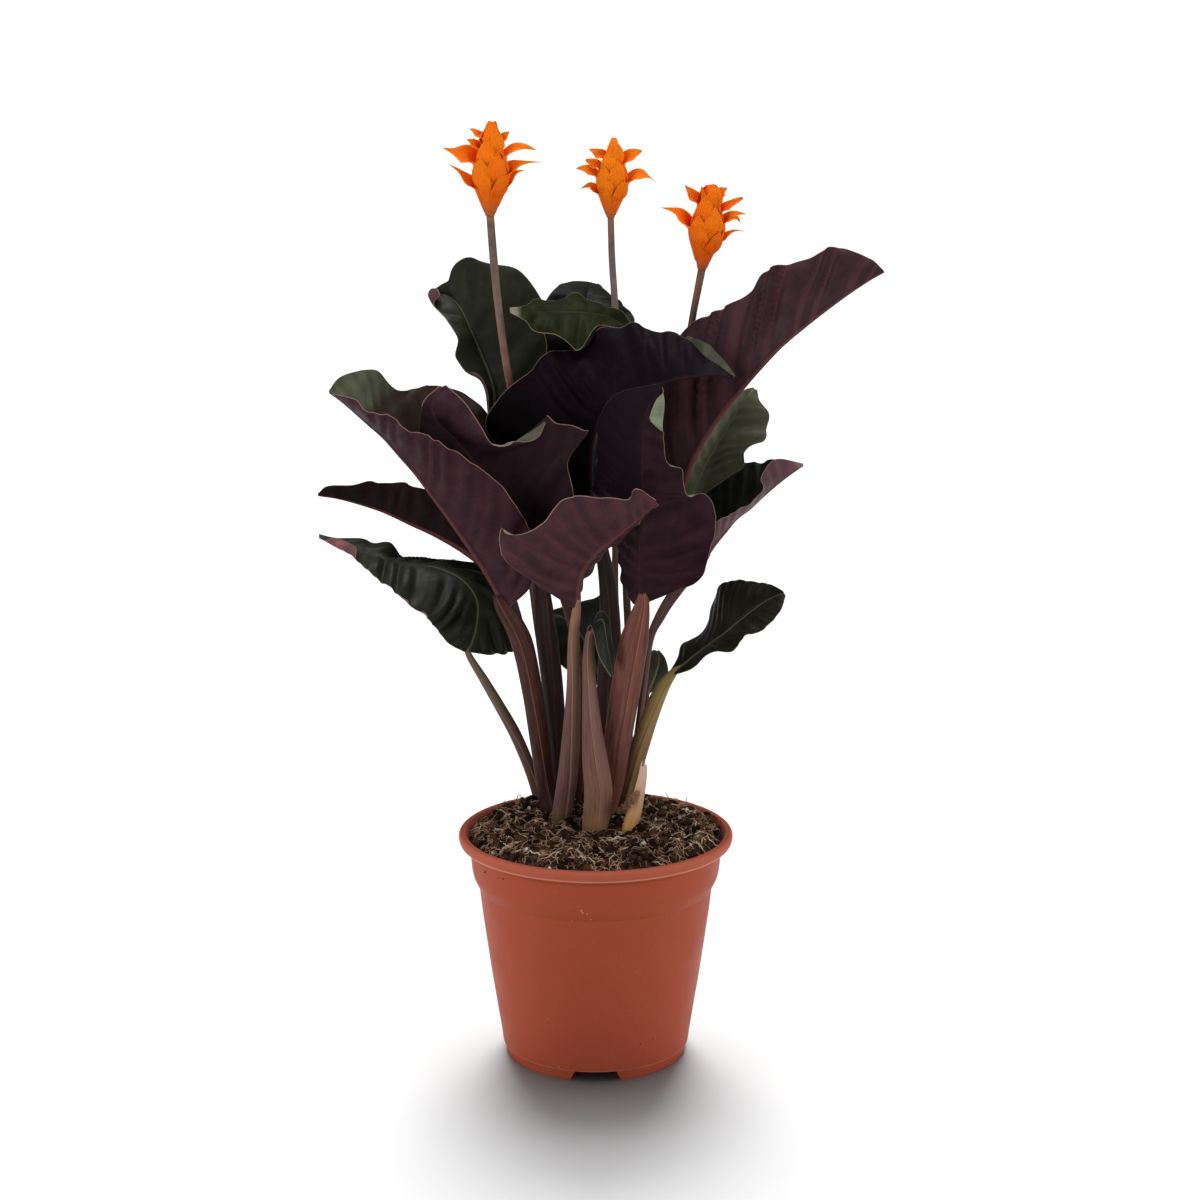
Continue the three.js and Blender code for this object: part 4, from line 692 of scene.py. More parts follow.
def lip_shape(side, look, stations, width):
    """Radius of a margin's lip, its turn over the shown face and the flap past it, by station."""
    radius = np.full(len(stations), LIP_RADIUS)
    turn = np.full(len(stations), LIP_TURN if look["shows"] == "upper" else -LIP_TURN)
    flap = np.zeros(len(stations))
    for margin, first, last, size, degrees, length_past in look.get("curls", []):
        if margin == side:
            weight = stretch(stations, first, last)
            radius += weight * (size - radius)
            turn += weight * (math.radians(degrees) - turn)
            flap += stretch(stations, first + 0.15, last - 0.15) * length_past
    return np.minimum(radius, 0.3 * width + 0.05), turn, np.minimum(flap, 0.6 * width)


def half_blade(keel, edge, outward, cup):
    """Points of a half blade that bows outward, and their distance from the keel, also as a share."""
    width = np.linalg.norm(edge - keel, axis=1)
    broad = np.maximum(width, LEAST_WIDTH)
    distance = half_places(broad)
    tau = distance / broad[:, None]
    bow = 4 * cup * tau * (1 - tau) * width[:, None]
    points = keel[:, None] + (edge - keel)[:, None] * tau[..., None] + outward[:, None] * bow[..., None]
    return points, distance, tau, width


def pleats(look, seed, run, tau, is_far):
    """Height of the folds between the side veins, and the phase that counts the veins."""
    depth, spacing = look["pleat"]
    phase = run / spacing + 0.22 * np.sin(run * 0.17 + seed) + 0.5 * is_far[None]
    height = depth * (np.sin(2 * math.pi * phase) + 0.3 * np.sin(4 * math.pi * phase + 1))
    height *= 0.7 + 0.3 * np.sin(run * 0.11 + 2 * seed)
    height *= smoothstep(0.1, 0.5, tau) * (1 - 0.5 * smoothstep(0.8, 1, tau))
    height *= np.where(is_far, look["back"][1], 1) if "back" in look else 1
    return height, phase


def margin_wave(look, seed, length, tau, is_far):
    """Height of the ripples, which grow towards the margin."""
    wave = np.sin(length[:, None] / 3.6 + seed + 2.1 * is_far[None]) * tau**3
    wave = 0.8 * wave + 0.35 * np.sin(length[:, None] / 1.7 + 2 * seed + is_far[None]) * tau**4
    return wave * look.get("wave", 1.0)


def rolled_margin(grid, normals, facts, lip, at_end):
    """The lip that goes on from the grid's first or last column: points, normals, facts, width."""
    radius, turn, flap = (value[:, None] for value in lip)
    arc = radius * np.abs(turn)
    width = arc + flap
    walked = width * np.linspace(0, 1, LIP_COLUMNS + 1)[1:]
    angle = np.minimum(walked, arc) / radius
    straight = np.maximum(walked - arc, 0)[..., None]
    sine, cosine = np.sin(angle)[..., None], np.cos(angle)[..., None]
    start = grid[:, at_end]
    inner = grid[:, 1] if at_end == 0 else grid[:, -2]
    out = unit(start - inner)[:, None]
    up = normals[:, at_end][:, None]
    over = up * np.sign(turn)[..., None]
    points = start[:, None] + radius[..., None] * (sine * out + (1 - cosine) * over)
    points = points + straight * (cosine * out + sine * over)
    turned = cosine * up - sine * np.sign(turn)[..., None] * out
    facts = {key: np.broadcast_to(value[:, at_end][:, None], walked.shape)
             for key, value in facts.items()}
    # Points turned more than a radian over on a lip with a flap come out of the painted shade.
    facts["dark"] = facts["dark"] * (1 - smoothstep(0.2, 0.8, flap) * (angle > 1))
    facts["edge"] = width - walked
    order = slice(None, None, -1) if at_end == 0 else slice(None)
    facts = {key: value[:, order] for key, value in facts.items()}
    return points[:, order], turned[:, order], facts, width


def blade_sheet(place, blade, look):
    """Mid-surface of a blade with its normals to the shown face, and what each point lies next to."""
    seed = sum(map(ord, place))
    last = len(blade["keel"]) - 1
    stations = np.linspace(0, last, last * ROWS_PER_STATION + 1)
    share = stations / last
    keel, near, far = (at(margin_line(blade, look, key, stations)) for key in ("keel", "near", "far"))
    along = unit(np.gradient(keel, axis=0))
    middle = len(stations) // 2
    facing = np.sign(np.dot(np.cross(along[middle], near[middle] - keel[middle]), EYE - keel[middle]))
    cups = {"near": blade["cup"], "far": look["back"][0] if "back" in look else blade["cup"]}
    lips, halves = {}, {}
    for side, edge, turn in (("near", near, facing), ("far", far, -facing)):
        width = np.linalg.norm(edge - keel, axis=1)
        lips[side] = lip_shape(side, look, stations, width)
        radius, angle = lips[side][:2]
        inset = (radius * np.sin(np.minimum(np.abs(angle), math.pi / 2)))[:, None]
        edge = edge + unit(keel - edge) * np.minimum(inset, 0.5 * width[:, None])
        outward = unit(np.cross(along, edge - keel)) * turn
        halves[side] = half_blade(keel, edge, outward, cups[side])

    grid, distance, tau = (
        np.concatenate([halves["near"][k][:, ::-1], halves["far"][k][:, 1:]], 1) for k in range(3))
    is_far = np.arange(grid.shape[1]) >= halves["near"][0].shape[1]
    normals = grid_normals(grid)
    toward = np.sign(np.sum(normals[middle, 4] * (EYE - grid[middle, 4])))
    normals *= toward
    length = length_along(keel)
    pleat, phase = pleats(look, seed, length[:, None] - look["lean"] * distance, tau, is_far)
    wave = margin_wave(look, seed, length, tau, is_far)
    body = smoothstep(0, 0.16, share) * (1 - smoothstep(0.84, 1, share))
    fullness = np.minimum(1, halves["near"][3] / FOLDED_WIDTH)
    grid = grid + normals * ((pleat + wave) * (body * fullness)[:, None])[..., None]
    normals = grid_normals(grid) * toward

    facts = {"keel": distance, "vein": phase, "along": np.broadcast_to(share[:, None], distance.shape)}
    for kind in ("pale", "dark"):
        facts[kind] = patches(look, kind, stations, is_far, tau)
    near_lip = rolled_margin(grid, normals, facts, lips["near"], 0)
    far_lip = rolled_margin(grid, normals, facts, lips["far"], -1)
    width = np.where(is_far, halves["far"][3][:, None], halves["near"][3][:, None])
    facts["edge"] = width - distance + np.where(is_far, far_lip[3], near_lip[3])
    grid = np.concatenate([near_lip[0], grid, far_lip[0]], 1)
    normals = np.concatenate([near_lip[1], normals, far_lip[1]], 1)
    facts = {key: np.concatenate([near_lip[2][key], value, far_lip[2][key]], 1)
             for key, value in facts.items()}
    return grid, normals, facts, share, toward


def blade_piece(place, blade, look):
    """Make a leaf's blade; the way to its lower face at its base is given back."""
    sheet, normals, facts, share, toward = blade_sheet(place, blade, look)
    rows, columns = sheet.shape[:2]
    rib_height = (RIB_HEIGHT[1] + (RIB_HEIGHT[0] - RIB_HEIGHT[1]) * (1 - share) ** 1.3)[:, None]
    rib_width = (RIB_WIDTH[1] + (RIB_WIDTH[0] - RIB_WIDTH[1]) * (1 - share))[:, None]
    rib = rib_height * np.exp(-((facts["keel"] / rib_width) ** 2))
    thickening = (LEAF_THICKNESS - MARGIN_THICKNESS) * smoothstep(0, THINNING, facts["edge"])
    half_thickness = (MARGIN_THICKNESS + thickening) / 2
    under = half_thickness + rib
    upper = half_thickness - RIB_SUNK * rib
    shown, hidden = (upper, under) if look["shows"] == "upper" else (under, upper)
    points = np.concatenate([sheet + normals * shown[..., None], sheet - normals * hidden[..., None]])

    front = split_faces(grid_faces(rows, columns))
    back = front + rows * columns
    walls = np.roll(rim_walls(rows, columns), -1, axis=1)
    if toward > 0:
        front = front[:, ::-1]
    else:
        back = back[:, ::-1]
        walls = walls[:, ::-1]
    faces = [*front, *back, *walls]
    picks = [0] * len(front) + [1] * len(back) + [0] * len(walls)
    values = {key: np.tile(value.ravel(), 2) for key, value in facts.items()}
    materials = [blade_finish(place, look, face) for face in ("upper", "under")]
    if look["shows"] == "under":
        materials.reverse()
    make_piece(f"{place}_leaf", points.reshape(-1, 3), faces, materials, picks, values,
               f"leaf_blade_{place}")
    keel = np.argmin(facts["keel"][0])
    return normals[0, keel] * (-1 if look["shows"] == "upper" else 1)


# ---- Leaf finishes ----


# The two faces of a blade. light and dark are the gains of the face's colour in its palest and
# deepest parts, used for the painted light and shade in bands along the pleats, the fine veins and
# the mottle; lift is added to the palest, pleats is how strong the pleats' painted shade and the
# fine veins are, and rib_width is the width of the midrib's colour at the base and the tip in mm.
LEAF_FACES = {
    "upper": {
        "name": "upper_face", "light": 1.8, "lift": 0.003, "dark": 0.5, "pleats": 0.5, "rib": "#5f6349",
        "rib_width": [1.0, 0.22], "pale": "#a39f88", "margin": "#8f7d66", "rough": 0.42,
    },
    "under": {
        "name": "lower_face", "light": [1.9, 1.5, 1.6], "lift": 0.002, "dark": [0.45, 0.5, 0.58],
        "pleats": 0.55, "rib": "#5e3433", "rib_width": [2.0, 0.4], "pale": "#a39486",
        "margin": "#96786a", "rough": 0.5,
    },
}
RIB_STRENGTH = 0.7
MARGIN_STRENGTH = 0.7
MARGIN_UNDER_PAINTED_SHADE = 0.15  # share of the margin's strength that is left in a dark patch
FINE_VEINS = 7  # for each pleat


def vein_tones(leaf, base, light, dark, strength, look):
    """Base colour with painted light and shade in bands along the pleats, the fine veins between them and a
    soft mottle.
    """
    phase = leaf.fact("vein")
    band = leaf.math("SINE", leaf.math("MULTIPLY", phase, 2 * math.pi))
    fine = leaf.math("SINE", leaf.math("MULTIPLY", phase, 2 * FINE_VEINS * math.pi))
    lines = leaf.step(fine, 0.55, 1.0, 0.0, 0.3 * strength * look.get("veins", 1.0))
    color = leaf.mix(leaf.step(band, -1.0, 1.0, 0.0, strength), base, dark)
    color = leaf.mix(lines, color, light)
    color = leaf.mix(leaf.step(band, -0.1, -1.0, 0.0, look.get("ridge", 0.12)), color, light)
    cloud = leaf.step(leaf.noise(38.0, 3.0), 0.35, 0.7, 0.0, 0.45)
    color = leaf.mix(cloud, color, dark)
    mottle = leaf.step(leaf.noise(120.0, 4.0), 0.35, 0.75, 0.0, 0.4)
    return leaf.mix(mottle, color, light), band


def blade_finish(place, look, face):
    """Satin finish of one face of a blade, with its midrib, slanting veins, thin pale margin and painted
    light and shade.
    """
    style = LEAF_FACES[face]
    leaf = Finish(f"{place}_{style['name']}", style["rough"], look.get("gloss", LEAF_GLOSS))
    tone = np.array(linear(look[face]))[:3]
    light = (*(tone * style["light"] + style["lift"]), 1)
    dark = (*(tone * style["dark"]), 1)
    color, band = vein_tones(leaf, (*tone, 1), light, dark, style["pleats"], look)
    rib_width = leaf.step(leaf.fact("along"), 0.0, 1.0, *style["rib_width"])
    on_rib = leaf.step(leaf.math("DIVIDE", leaf.fact("keel"), rib_width), 0.4, 1.0, RIB_STRENGTH, 0.0)
    color = leaf.mix(on_rib, color, linear(look.get("rib", style["rib"])))
    color = leaf.mix(leaf.fact("pale"), color, linear(style["pale"]))
    # Painted shade: the dark patches mix the colour towards shade where the blade lies in shadow, and the
    # pale margin mostly fades out under it.
    shade = linear(look["shade"]) if "shade" in look else (*(tone * PAINTED_SHADE_SHARE), 1)
    color = leaf.mix(leaf.fact("dark"), color, shade)
    width = look.get("edge", EDGE_WIDTH)
    on_margin = leaf.step(leaf.fact("edge"), 0.4 * width, 1.1 * width, MARGIN_STRENGTH, 0.0)
    out_of_painted_shade = leaf.step(leaf.fact("dark"), 0.72, 0.9, 1.0, MARGIN_UNDER_PAINTED_SHADE)
    on_margin = leaf.math("MULTIPLY", on_margin, out_of_painted_shade)
    color = leaf.mix(on_margin, color, linear(style["margin"]))
    leaf.color(color)
    rough = style["rough"]
    leaf.rough(leaf.step(leaf.noise(280.0, 2.0), 0.3, 0.7, rough - 0.05, rough + 0.1))
    leaf.bump(leaf.math("MULTIPLY_ADD", band, 0.3, leaf.noise(650.0, 2.0)), 0.00012, 0.6)
    return leaf.material


# ---- Stems ----

SOIL_TOP = 119.5
STEM_FLATNESS = 0.8  # depth over width
STEM_SIDES = 40
STEM_TURN = 2 * math.pi * 0.998  # a stem's first and last columns nearly meet at its seam
SEAM_STEP = 0.32  # height of the free edge where one sheath layer laps over the next, mm
NO_SEAM = 9.0  # stands in for the distance from a seam on what has none, mm
ROOTED = 6.0  # how far a stem goes on under the soil, mm
JOINED = 7.0  # how far a leaf stalk runs on into its blade's midrib, mm

LEAF_STALK_ROW = 2.2  # length of a ring of faces, mm
FLOWER_STALK_ROW = 2.5

# Colours of each leaf stalk from the soil up, as [share of its length, colour], and seam: where the
# free edge of the outer sheath lies at the foot and at the top, in degrees (270 faces the front).
# lap is the colour beside that edge, and contrast how clearly streaks and edge show.
STEM_LOOKS = {
    "upper_left": {"tones": [[0, "#573932"], [0.5, "#4d3531"], [1, "#473a32"]], "seam": [200, 300]},
    "top_back": {"tones": [[0, "#4c332c"], [1, "#3f2e2b"]], "seam": [250, 200]},
    "top_centre": {"tones": [[0, "#4c332c"], [1, "#3f2e2b"]], "seam": [290, 260]},
    "crest": {"tones": [[0, "#3f2822"], [0.25, "#331d1d"], [0.6, "#2a181a"], [1, "#24151a"]],
              "seam": [300, 250], "contrast": 0.25},
    "front_left": {"tones": [[0, "#30150b"], [0.2, "#290d0a"], [0.5, "#30110e"], [0.8, "#361310"],
                             [1, "#32120e"]],
                   "seam": [282, 262], "lap": "#3d1913", "contrast": 0.6},
    "inner_left": {"tones": [[0, "#301c1b"], [0.5, "#251417"], [1, "#2c181c"]],
                   "seam": [250, 300], "contrast": 0.25},
    "front_right": {"tones": [[0, "#5c3425"], [0.35, "#4f2a25"], [0.7, "#5a2e27"], [1, "#62332c"]],
                    "seam": [275, 288], "lap": "#77473a"},
    "front_low": {"tones": [[0, "#5a4b33"], [0.12, "#543635"], [0.5, "#5e4038"], [0.78, "#735141"],
                            [1, "#8d654b"]],
                  "seam": [300, 240], "lap": "#765746"},
    "low_left": {"tones": [[0, "#543830"], [0.45, "#573e36"], [0.8, "#5a503f"], [1, "#564a3c"]],
                 "seam": [300, 220]},
    "mid_left": {"tones": [[0, "#4c332c"], [1, "#402e2e"]], "seam": [230, 280]},
    "upper_right": {"tones": [[0, "#4b322d"], [1, "#462d30"]], "seam": [260, 280]},
    "mid_right": {"tones": [[0, "#49342c"], [1, "#433430"]], "seam": [260, 280]},
    "side_right": {"tones": [[0, "#573d38"], [1, "#593e3d"]], "seam": [250, 280]},
    "low_right": {"tones": [[0, "#5f4536"], [0.4, "#6b4c37"], [0.75, "#786434"], [1, "#6d5f2f"]],
                  "seam": [240, 300], "lap": "#86713f"},
    "low_back": {"tones": [[0, "#2f2520"], [1, "#26201b"]], "seam": [260, 280]},
    "young_front": {"tones": [[0, "#7a5c34"], [0.12, "#6a4a38"], [0.5, "#5e3c39"], [1, "#5c4538"]],
                    "seam": [285, 255], "lap": "#785a4f"},
    "young_right": {"tones": [[0, "#574234"], [1, "#4c3d30"]], "seam": [260, 280]},
}

FLOWER_STALK_TONES = {
    "left": [[0, "#573a33"], [0.6, "#54291e"], [0.7, "#653528"], [0.84, "#7e675e"],
             [0.96, "#4b3d39"], [1, "#7a5a3c"]],
    "centre": [[0, "#52362e"], [0.68, "#674b44"], [0.85, "#72605a"], [0.96, "#57444b"],
               [1, "#7c563e"]],
    "right": [[0, "#442b27"], [0.7, "#452c2a"], [0.9, "#4b3833"], [1, "#6a4a38"]],
}


def stem_finish(name, tones, lap=None, contrast=1.0, ribs=1.0):
    """Satin stem: tones from foot to top, streaks along it and a paler lapped edge, by contrast."""
    stem = Finish(name, 0.45, 0.15)
    ramp = stem.node("ShaderNodeValToRGB")
    drift = stem.math("MULTIPLY_ADD", stem.noise(90.0, 2.0), 0.24, -0.12)
    stem.link(stem.math("ADD", stem.fact("along"), drift), ramp.inputs[0])
    elements = ramp.color_ramp.elements
    elements[0].position, elements[1].position = tones[0][0], tones[-1][0]
    elements[0].color, elements[1].color = linear(tones[0][1]), linear(tones[-1][1])
    for position, code in tones[1:-1]:
        elements.new(position).color = linear(code)
    turn = stem.fact("turn")
    round_x = stem.math("MULTIPLY", stem.math("COSINE", turn), 3.0)
    round_y = stem.math("MULTIPLY", stem.math("SINE", turn), 3.0)
    grain = stem.vector(round_x, round_y, stem.math("MULTIPLY", stem.fact("run"), 0.03))
    streak = stem.noise(2.2, 5.0, 0.7, grain)
    color = stem.mix(stem.step(streak, 0.4, 0.8, 0.0, 0.35 * contrast), ramp.outputs[0], linear("#8e6f5c"))
    color = stem.mix(stem.step(streak, 0.5, 0.25, 0.0, 0.45), color, linear("#271517"))
    if lap:
        on_lap = stem.step(stem.fact("seam"), 1.2, 3.4, 0.45, 0.0)
        color = stem.mix(on_lap, color, linear(lap))
    rim = stem.step(stem.fact("seam"), 0.1, 0.35, 0.5 * contrast, 0.0)
    color = stem.mix(rim, color, linear("#9a7d66"))
    stem.color(color)
    stem.rough(stem.step(streak, 0.3, 0.7, 0.38, 0.55))
    stem.bump(streak, 0.0002 * ribs, 0.7)
    return stem.material


def stem_tube(path, widths, rows, seam, step):
    """Points, faces and facts of a flattened tube along a path, lapped over itself at the seam."""
    places, run = even_path(path, rows)
    middle = spline(path, places)
    half_width = np.interp(places, np.arange(len(widths)), widths)
    along = unit(np.gradient(middle, axis=0))
    across = unit(np.array([1.0, 0, 0]) - along * along[:, :1])
    deep = np.cross(along, across)
    share = run / run[-1]
    turn = np.linspace(0, STEM_TURN, STEM_SIDES + 1)
    start = np.radians(seam[0] + (seam[1] - seam[0]) * share)[:, None]
    angle = start + turn
    lap = (1 - turn / (2 * math.pi)) ** 2
    lift = step * lap * np.minimum(1, half_width / 2)[:, None]
    ribs = 0.05 * np.sin(7 * angle + 2) * np.minimum(1, half_width / 3)[:, None]
    reach = half_width[:, None] + (lift + ribs) - 0.3 * step
    x = (reach * np.cos(angle))[..., None] * across[:, None]
    y = (STEM_FLATNESS * reach * np.sin(angle))[..., None] * deep[:, None]
    ring = middle[:, None] + x + y
    points = np.concatenate([ring.reshape(-1, 3), middle[:1], middle[-1:]])
    grid = np.ones((rows, STEM_SIDES + 1))
    facts = {
        "along": (share[:, None] * grid).ravel(),
        "run": (run[:, None] * grid).ravel(),
        "turn": (angle * grid).ravel(),
        "seam": (turn * half_width[:, None]).ravel(),
    }
    facts = {key: np.append(value, [value[0], value[-1]]) for key, value in facts.items()}
    return points, closed_tube_faces(rows, STEM_SIDES + 1), facts


def stem_path(stalk, end):
    """Points that a stem follows from under the soil to its end, and its half-widths up to there."""
    foot = np.array([*stalk["foot"], SOIL_TOP])
    via = at([point[:3] for point in stalk["via"]])
    path = np.vstack([foot - [0, 0, ROOTED], foot, via, end])
    widths = [stalk["footWidth"], stalk["footWidth"], *[point[3] for point in stalk["via"]]]
    return path, widths


def leaf_stalk_piece(place, stalk, join, into, under):
    """join is where the midrib starts, into a point along it, under the way to its lower face."""
    end = np.vstack([join + 0.5 * under, join + JOINED * unit(into - join) + 0.9 * under])
    path, widths = stem_path(stalk, end)
    look = STEM_LOOKS[place]
    rows = int(length_along(path)[-1] / LEAF_STALK_ROW) + 8
    widths = [*widths, stalk["endWidth"], 0.5 * stalk["endWidth"]]
    points, faces, facts = stem_tube(path, widths, rows, look["seam"], SEAM_STEP)
    skin = stem_finish(f"{place}_petiole_skin", look["tones"], look.get("lap"), look.get("contrast", 1.0))
    make_piece(f"{place}_petiole", points, faces, [skin], facts=facts,
               node=f"leaf_stalk_{place}")


def flower_stalk_piece(place, stalk):
    path, widths = stem_path(stalk, at([stalk["end"]]))
    rows = int(length_along(path)[-1] / FLOWER_STALK_ROW)
    points, faces, facts = stem_tube(path, [*widths, stalk["endWidth"]], rows, [90, 90], 0.0)
    facts["seam"] = np.full(len(points), NO_SEAM)
    skin = stem_finish(f"{place}_stalk_skin", FLOWER_STALK_TONES[place], ribs=0.7)
    make_piece(f"{place}_flower_stalk", points, faces, [skin], facts=facts,
               node=f"flower_stalk_{place}")


# ---- Flower heads ----

# Each head stands on an axis from base to top, and its closed part fills a funnel of the given
# girth. A bract is [azimuth, roll, open part]: the way it points (0 right, 90 back, 270 front), how
# far its open part is rolled about its own length in degrees, and that part as [distance from the
# axis, level above the base, half-width] from the funnel to its tip. They are listed from the
# outside in, and the first five are pieces of their own. tint runs from 0, deeper orange, to 1.
FLOWER_HEADS = {
    "left": {
        "base": [-55, 193.4, 28], "top": [-54, 235.4, 28], "girth": 1, "tint": 0.5,
        "bracts": [
            [180, -60, [[8.2, 12, 5.2], [10.8, 15.6, 3.4], [14.3, 19, 1.5],
                        [17.5, 21.3, 0.7], [21.2, 23.2, 0.05]]],
            [-2, 60, [[9, 19.5, 6.2], [10.5, 22.7, 4.4], [13.2, 24.5, 2.1],
                      [18.7, 25.5, 0.7], [25.1, 25.7, 0.05]]],
            [95, 20, [[8, 17, 6.5], [13, 24, 5], [20, 29, 0.1]]],
            [312, -10, [[7.9, 10, 5.4], [9.6, 16, 3.4], [10, 20.5, 0.1]]],
            [238, 10, [[9.3, 15, 6], [9.7, 22, 3.8], [9.1, 27, 0.1]]],
            [-10, 60, [[6.5, 11.2, 5], [10.1, 17.5, 2.4], [13, 20.5, 1], [17.1, 21.6, 0.05]]],
            [140, 0, [[9.3, 17.5, 6], [10, 21.2, 3.6], [10.5, 24.6, 0.1]]],
            [178, -62, [[8.6, 23.7, 7.5], [11.5, 26.8, 6.6], [14.7, 28.4, 5],
                        [19, 29.5, 1.8], [24.2, 31, 0.05]]],
            [2, 60, [[6.3, 27.6, 5.5], [10.8, 32, 3], [15.2, 33, 1.8],
                     [18.8, 32.4, 1], [21.9, 31.5, 0.05]]],
            [60, -20, [[7.5, 23.8, 5.5], [12, 29.8, 3.5], [16, 31.8, 0.1]]],
            [125, 20, [[7, 26.8, 5], [9.5, 32.8, 3], [12, 36.3, 0.1]]],
            [182, -60, [[6.8, 31.2, 3.8], [9.3, 34.1, 2.2], [12.2, 35.4, 0.05]]],
            [-5, 60, [[4.2, 33.9, 4.2], [6.4, 37.8, 2.4], [8.8, 39.9, 0.05]]],
            [175, -60, [[4.5, 35.9, 4], [7.4, 38.5, 2.1], [9.3, 40, 1], [11.3, 40.6, 0.05]]],
            [290, -8, [[9.6, 18.8, 6], [9.4, 24.8, 3.8], [8.4, 29.3, 0.1]]],
            [252, 6, [[8.7, 26.8, 5.4], [7.1, 32.3, 3.2], [6.4, 36.3, 0.1]]],
            [300, 0, [[6.9, 32.8, 5], [5.9, 37.3, 2.8], [4.3, 40.3, 0.1]]],
            [268, 0, [[6, 35.8, 4.6], [3.3, 40.8, 3.2], [1.4, 44.4, 1.2]]],
            [30, 0, [[5.9, 36.3, 4.6], [2.6, 41.2, 3.2], [1.4, 44.7, 1.2]]],
            [150, 0, [[6, 35.8, 4.6], [3.3, 40.8, 3.2], [1.4, 44.6, 1.2]]],
        ],
    },
    "centre": {
        "base": [5.3, 192.4, 47], "top": [7, 229.5, 47], "girth": 0.88, "tint": 0.75,
        "bracts": [
            [182, -60, [[6.1, 10.2, 4.8], [10.2, 14.2, 2.1], [13.1, 13.8, 1], [15.6, 12.4, 0.05]]],
            [-4, 60, [[7.1, 16.3, 6.2], [11.6, 20.2, 4.1], [15.1, 20.8, 2.8], [17.9, 20, 0.9],
                      [20.2, 18.8, 0.25], [22.2, 17.3, 0.05]]],
            [92, 20, [[7, 15, 5.5], [11, 20, 4], [15, 24, 0.1]]],
            [312, -10, [[7.1, 9, 5], [8.6, 14.5, 3], [8.9, 18, 0.1]]],
            [238, 10, [[8.3, 14, 5.4], [8.5, 20, 3.4], [7.9, 24.5, 0.1]]],
            [178, -60, [[7.7, 18.7, 5.2], [12, 21.9, 2.9], [15.1, 22.6, 1.6], [18.5, 22.3, 0.05]]],
            [172, -60, [[7.1, 23.2, 4], [10.7, 25.6, 2.4], [13.9, 26.8, 0.6]]],
            [4, 60, [[4.8, 25.8, 5.8], [8.6, 30, 3.6], [12.1, 31.7, 2], [14.3, 32.5, 0.3]]],
            [62, -20, [[6, 22, 5], [9.5, 27, 3], [12.5, 29, 0.1]]],
            [120, 20, [[5.5, 24, 4.5], [8, 29, 2.6], [9.5, 32, 0.1]]],
            [176, -60, [[4.9, 27.8, 4.8], [8.9, 30.8, 2.2], [12.5, 32.2, 0.05]]],
            [288, -8, [[8.4, 18, 5.2], [7.9, 23.5, 3.2], [6.9, 27.5, 0.1]]],
            [252, 6, [[7.3, 25, 4.8], [6.1, 29.5, 2.8], [5.6, 32.5, 0.1]]],
            [300, 0, [[6, 29, 4.2], [5.2, 33, 2.4], [3.8, 35.6, 0.1]]],
            [270, 0, [[5.5, 31, 4], [3.7, 35, 2.6], [1.2, 38, 1.2]]],
            [90, 0, [[5.5, 31, 4], [3.6, 35.2, 2.6], [1.2, 38.3, 1.2]]],
        ],
    },
    "right": {
        "base": [51, 166.4, 50], "top": [56, 208, 50], "girth": 0.96, "tint": 0.3,
        "bracts": [
            [182, -60, [[9.7, 19, 7.5], [14.1, 25.3, 3.4], [18.9, 26.9, 1.3], [24.1, 27.3, 0.05]]],
            [-4, 60, [[6.7, 23.5, 5.5], [10.8, 27.4, 2.4], [14.7, 28.8, 1.3], [19, 28.9, 0.05]]],
            [95, 20, [[8, 17, 6.5], [13, 23, 5], [18, 28, 0.1]]],
            [312, -10, [[7.2, 9, 5.4], [9.1, 15, 3.4], [9.6, 19.5, 0.1]]],
            [238, 10, [[8.7, 14, 6], [9.3, 21, 3.8], [9, 26, 0.1]]],
            [-12, 60, [[6.8, 13.4, 4.6], [9.8, 17.1, 2], [14.1, 20.1, 0.7], [19.5, 20.4, 0.05]]],
            [-10, 60, [[7.3, 23, 4], [11.4, 26.4, 2.2], [14.7, 26.6, 1.1], [16.6, 24.3, 0.05]]],
            [3, 60, [[5.8, 28.9, 4.4], [9.7, 32.4, 2.3], [13.4, 34.9, 1.6], [16.3, 36.7, 0.8]]],
            [60, -20, [[7.5, 24, 5.5], [12, 30, 3.5], [15, 33, 0.1]]],
            [125, 20, [[7, 27, 5], [9.5, 33, 3], [12, 36.5, 0.1]]],
            [176, -60, [[6.3, 31.5, 5], [9.9, 36.3, 2.6], [13.4, 39.6, 0.15]]],
            [0, 60, [[3, 34.1, 4.8], [4.9, 38.2, 3.1], [7.9, 40.7, 0.15]]],
            [290, -8, [[9.2, 20, 6], [8.7, 26, 3.8], [7.6, 30.5, 0.1]]],
            [252, 6, [[8.3, 27, 5.4], [6.8, 32.5, 3.2], [6.1, 36.5, 0.1]]],
            [205, 0, [[4.6, 34, 4.2], [5.2, 37.5, 2.2], [5.6, 40.4, 0.1]]],
            [285, 0, [[6.3, 34, 4.4], [5, 38.4, 2.6], [1.8, 42.2, 0.1]]],
            [335, 0, [[6.3, 34, 4.2], [4.8, 38.6, 2.4], [2, 41.8, 0.1]]],
            [60, 0, [[6.2, 34, 4.6], [4.6, 38.6, 3], [1.8, 41.6, 1.2]]],
            [130, 0, [[6.2, 34, 4.6], [4.9, 38.2, 3], [2.7, 41, 1.2]]],
        ],
    },
}

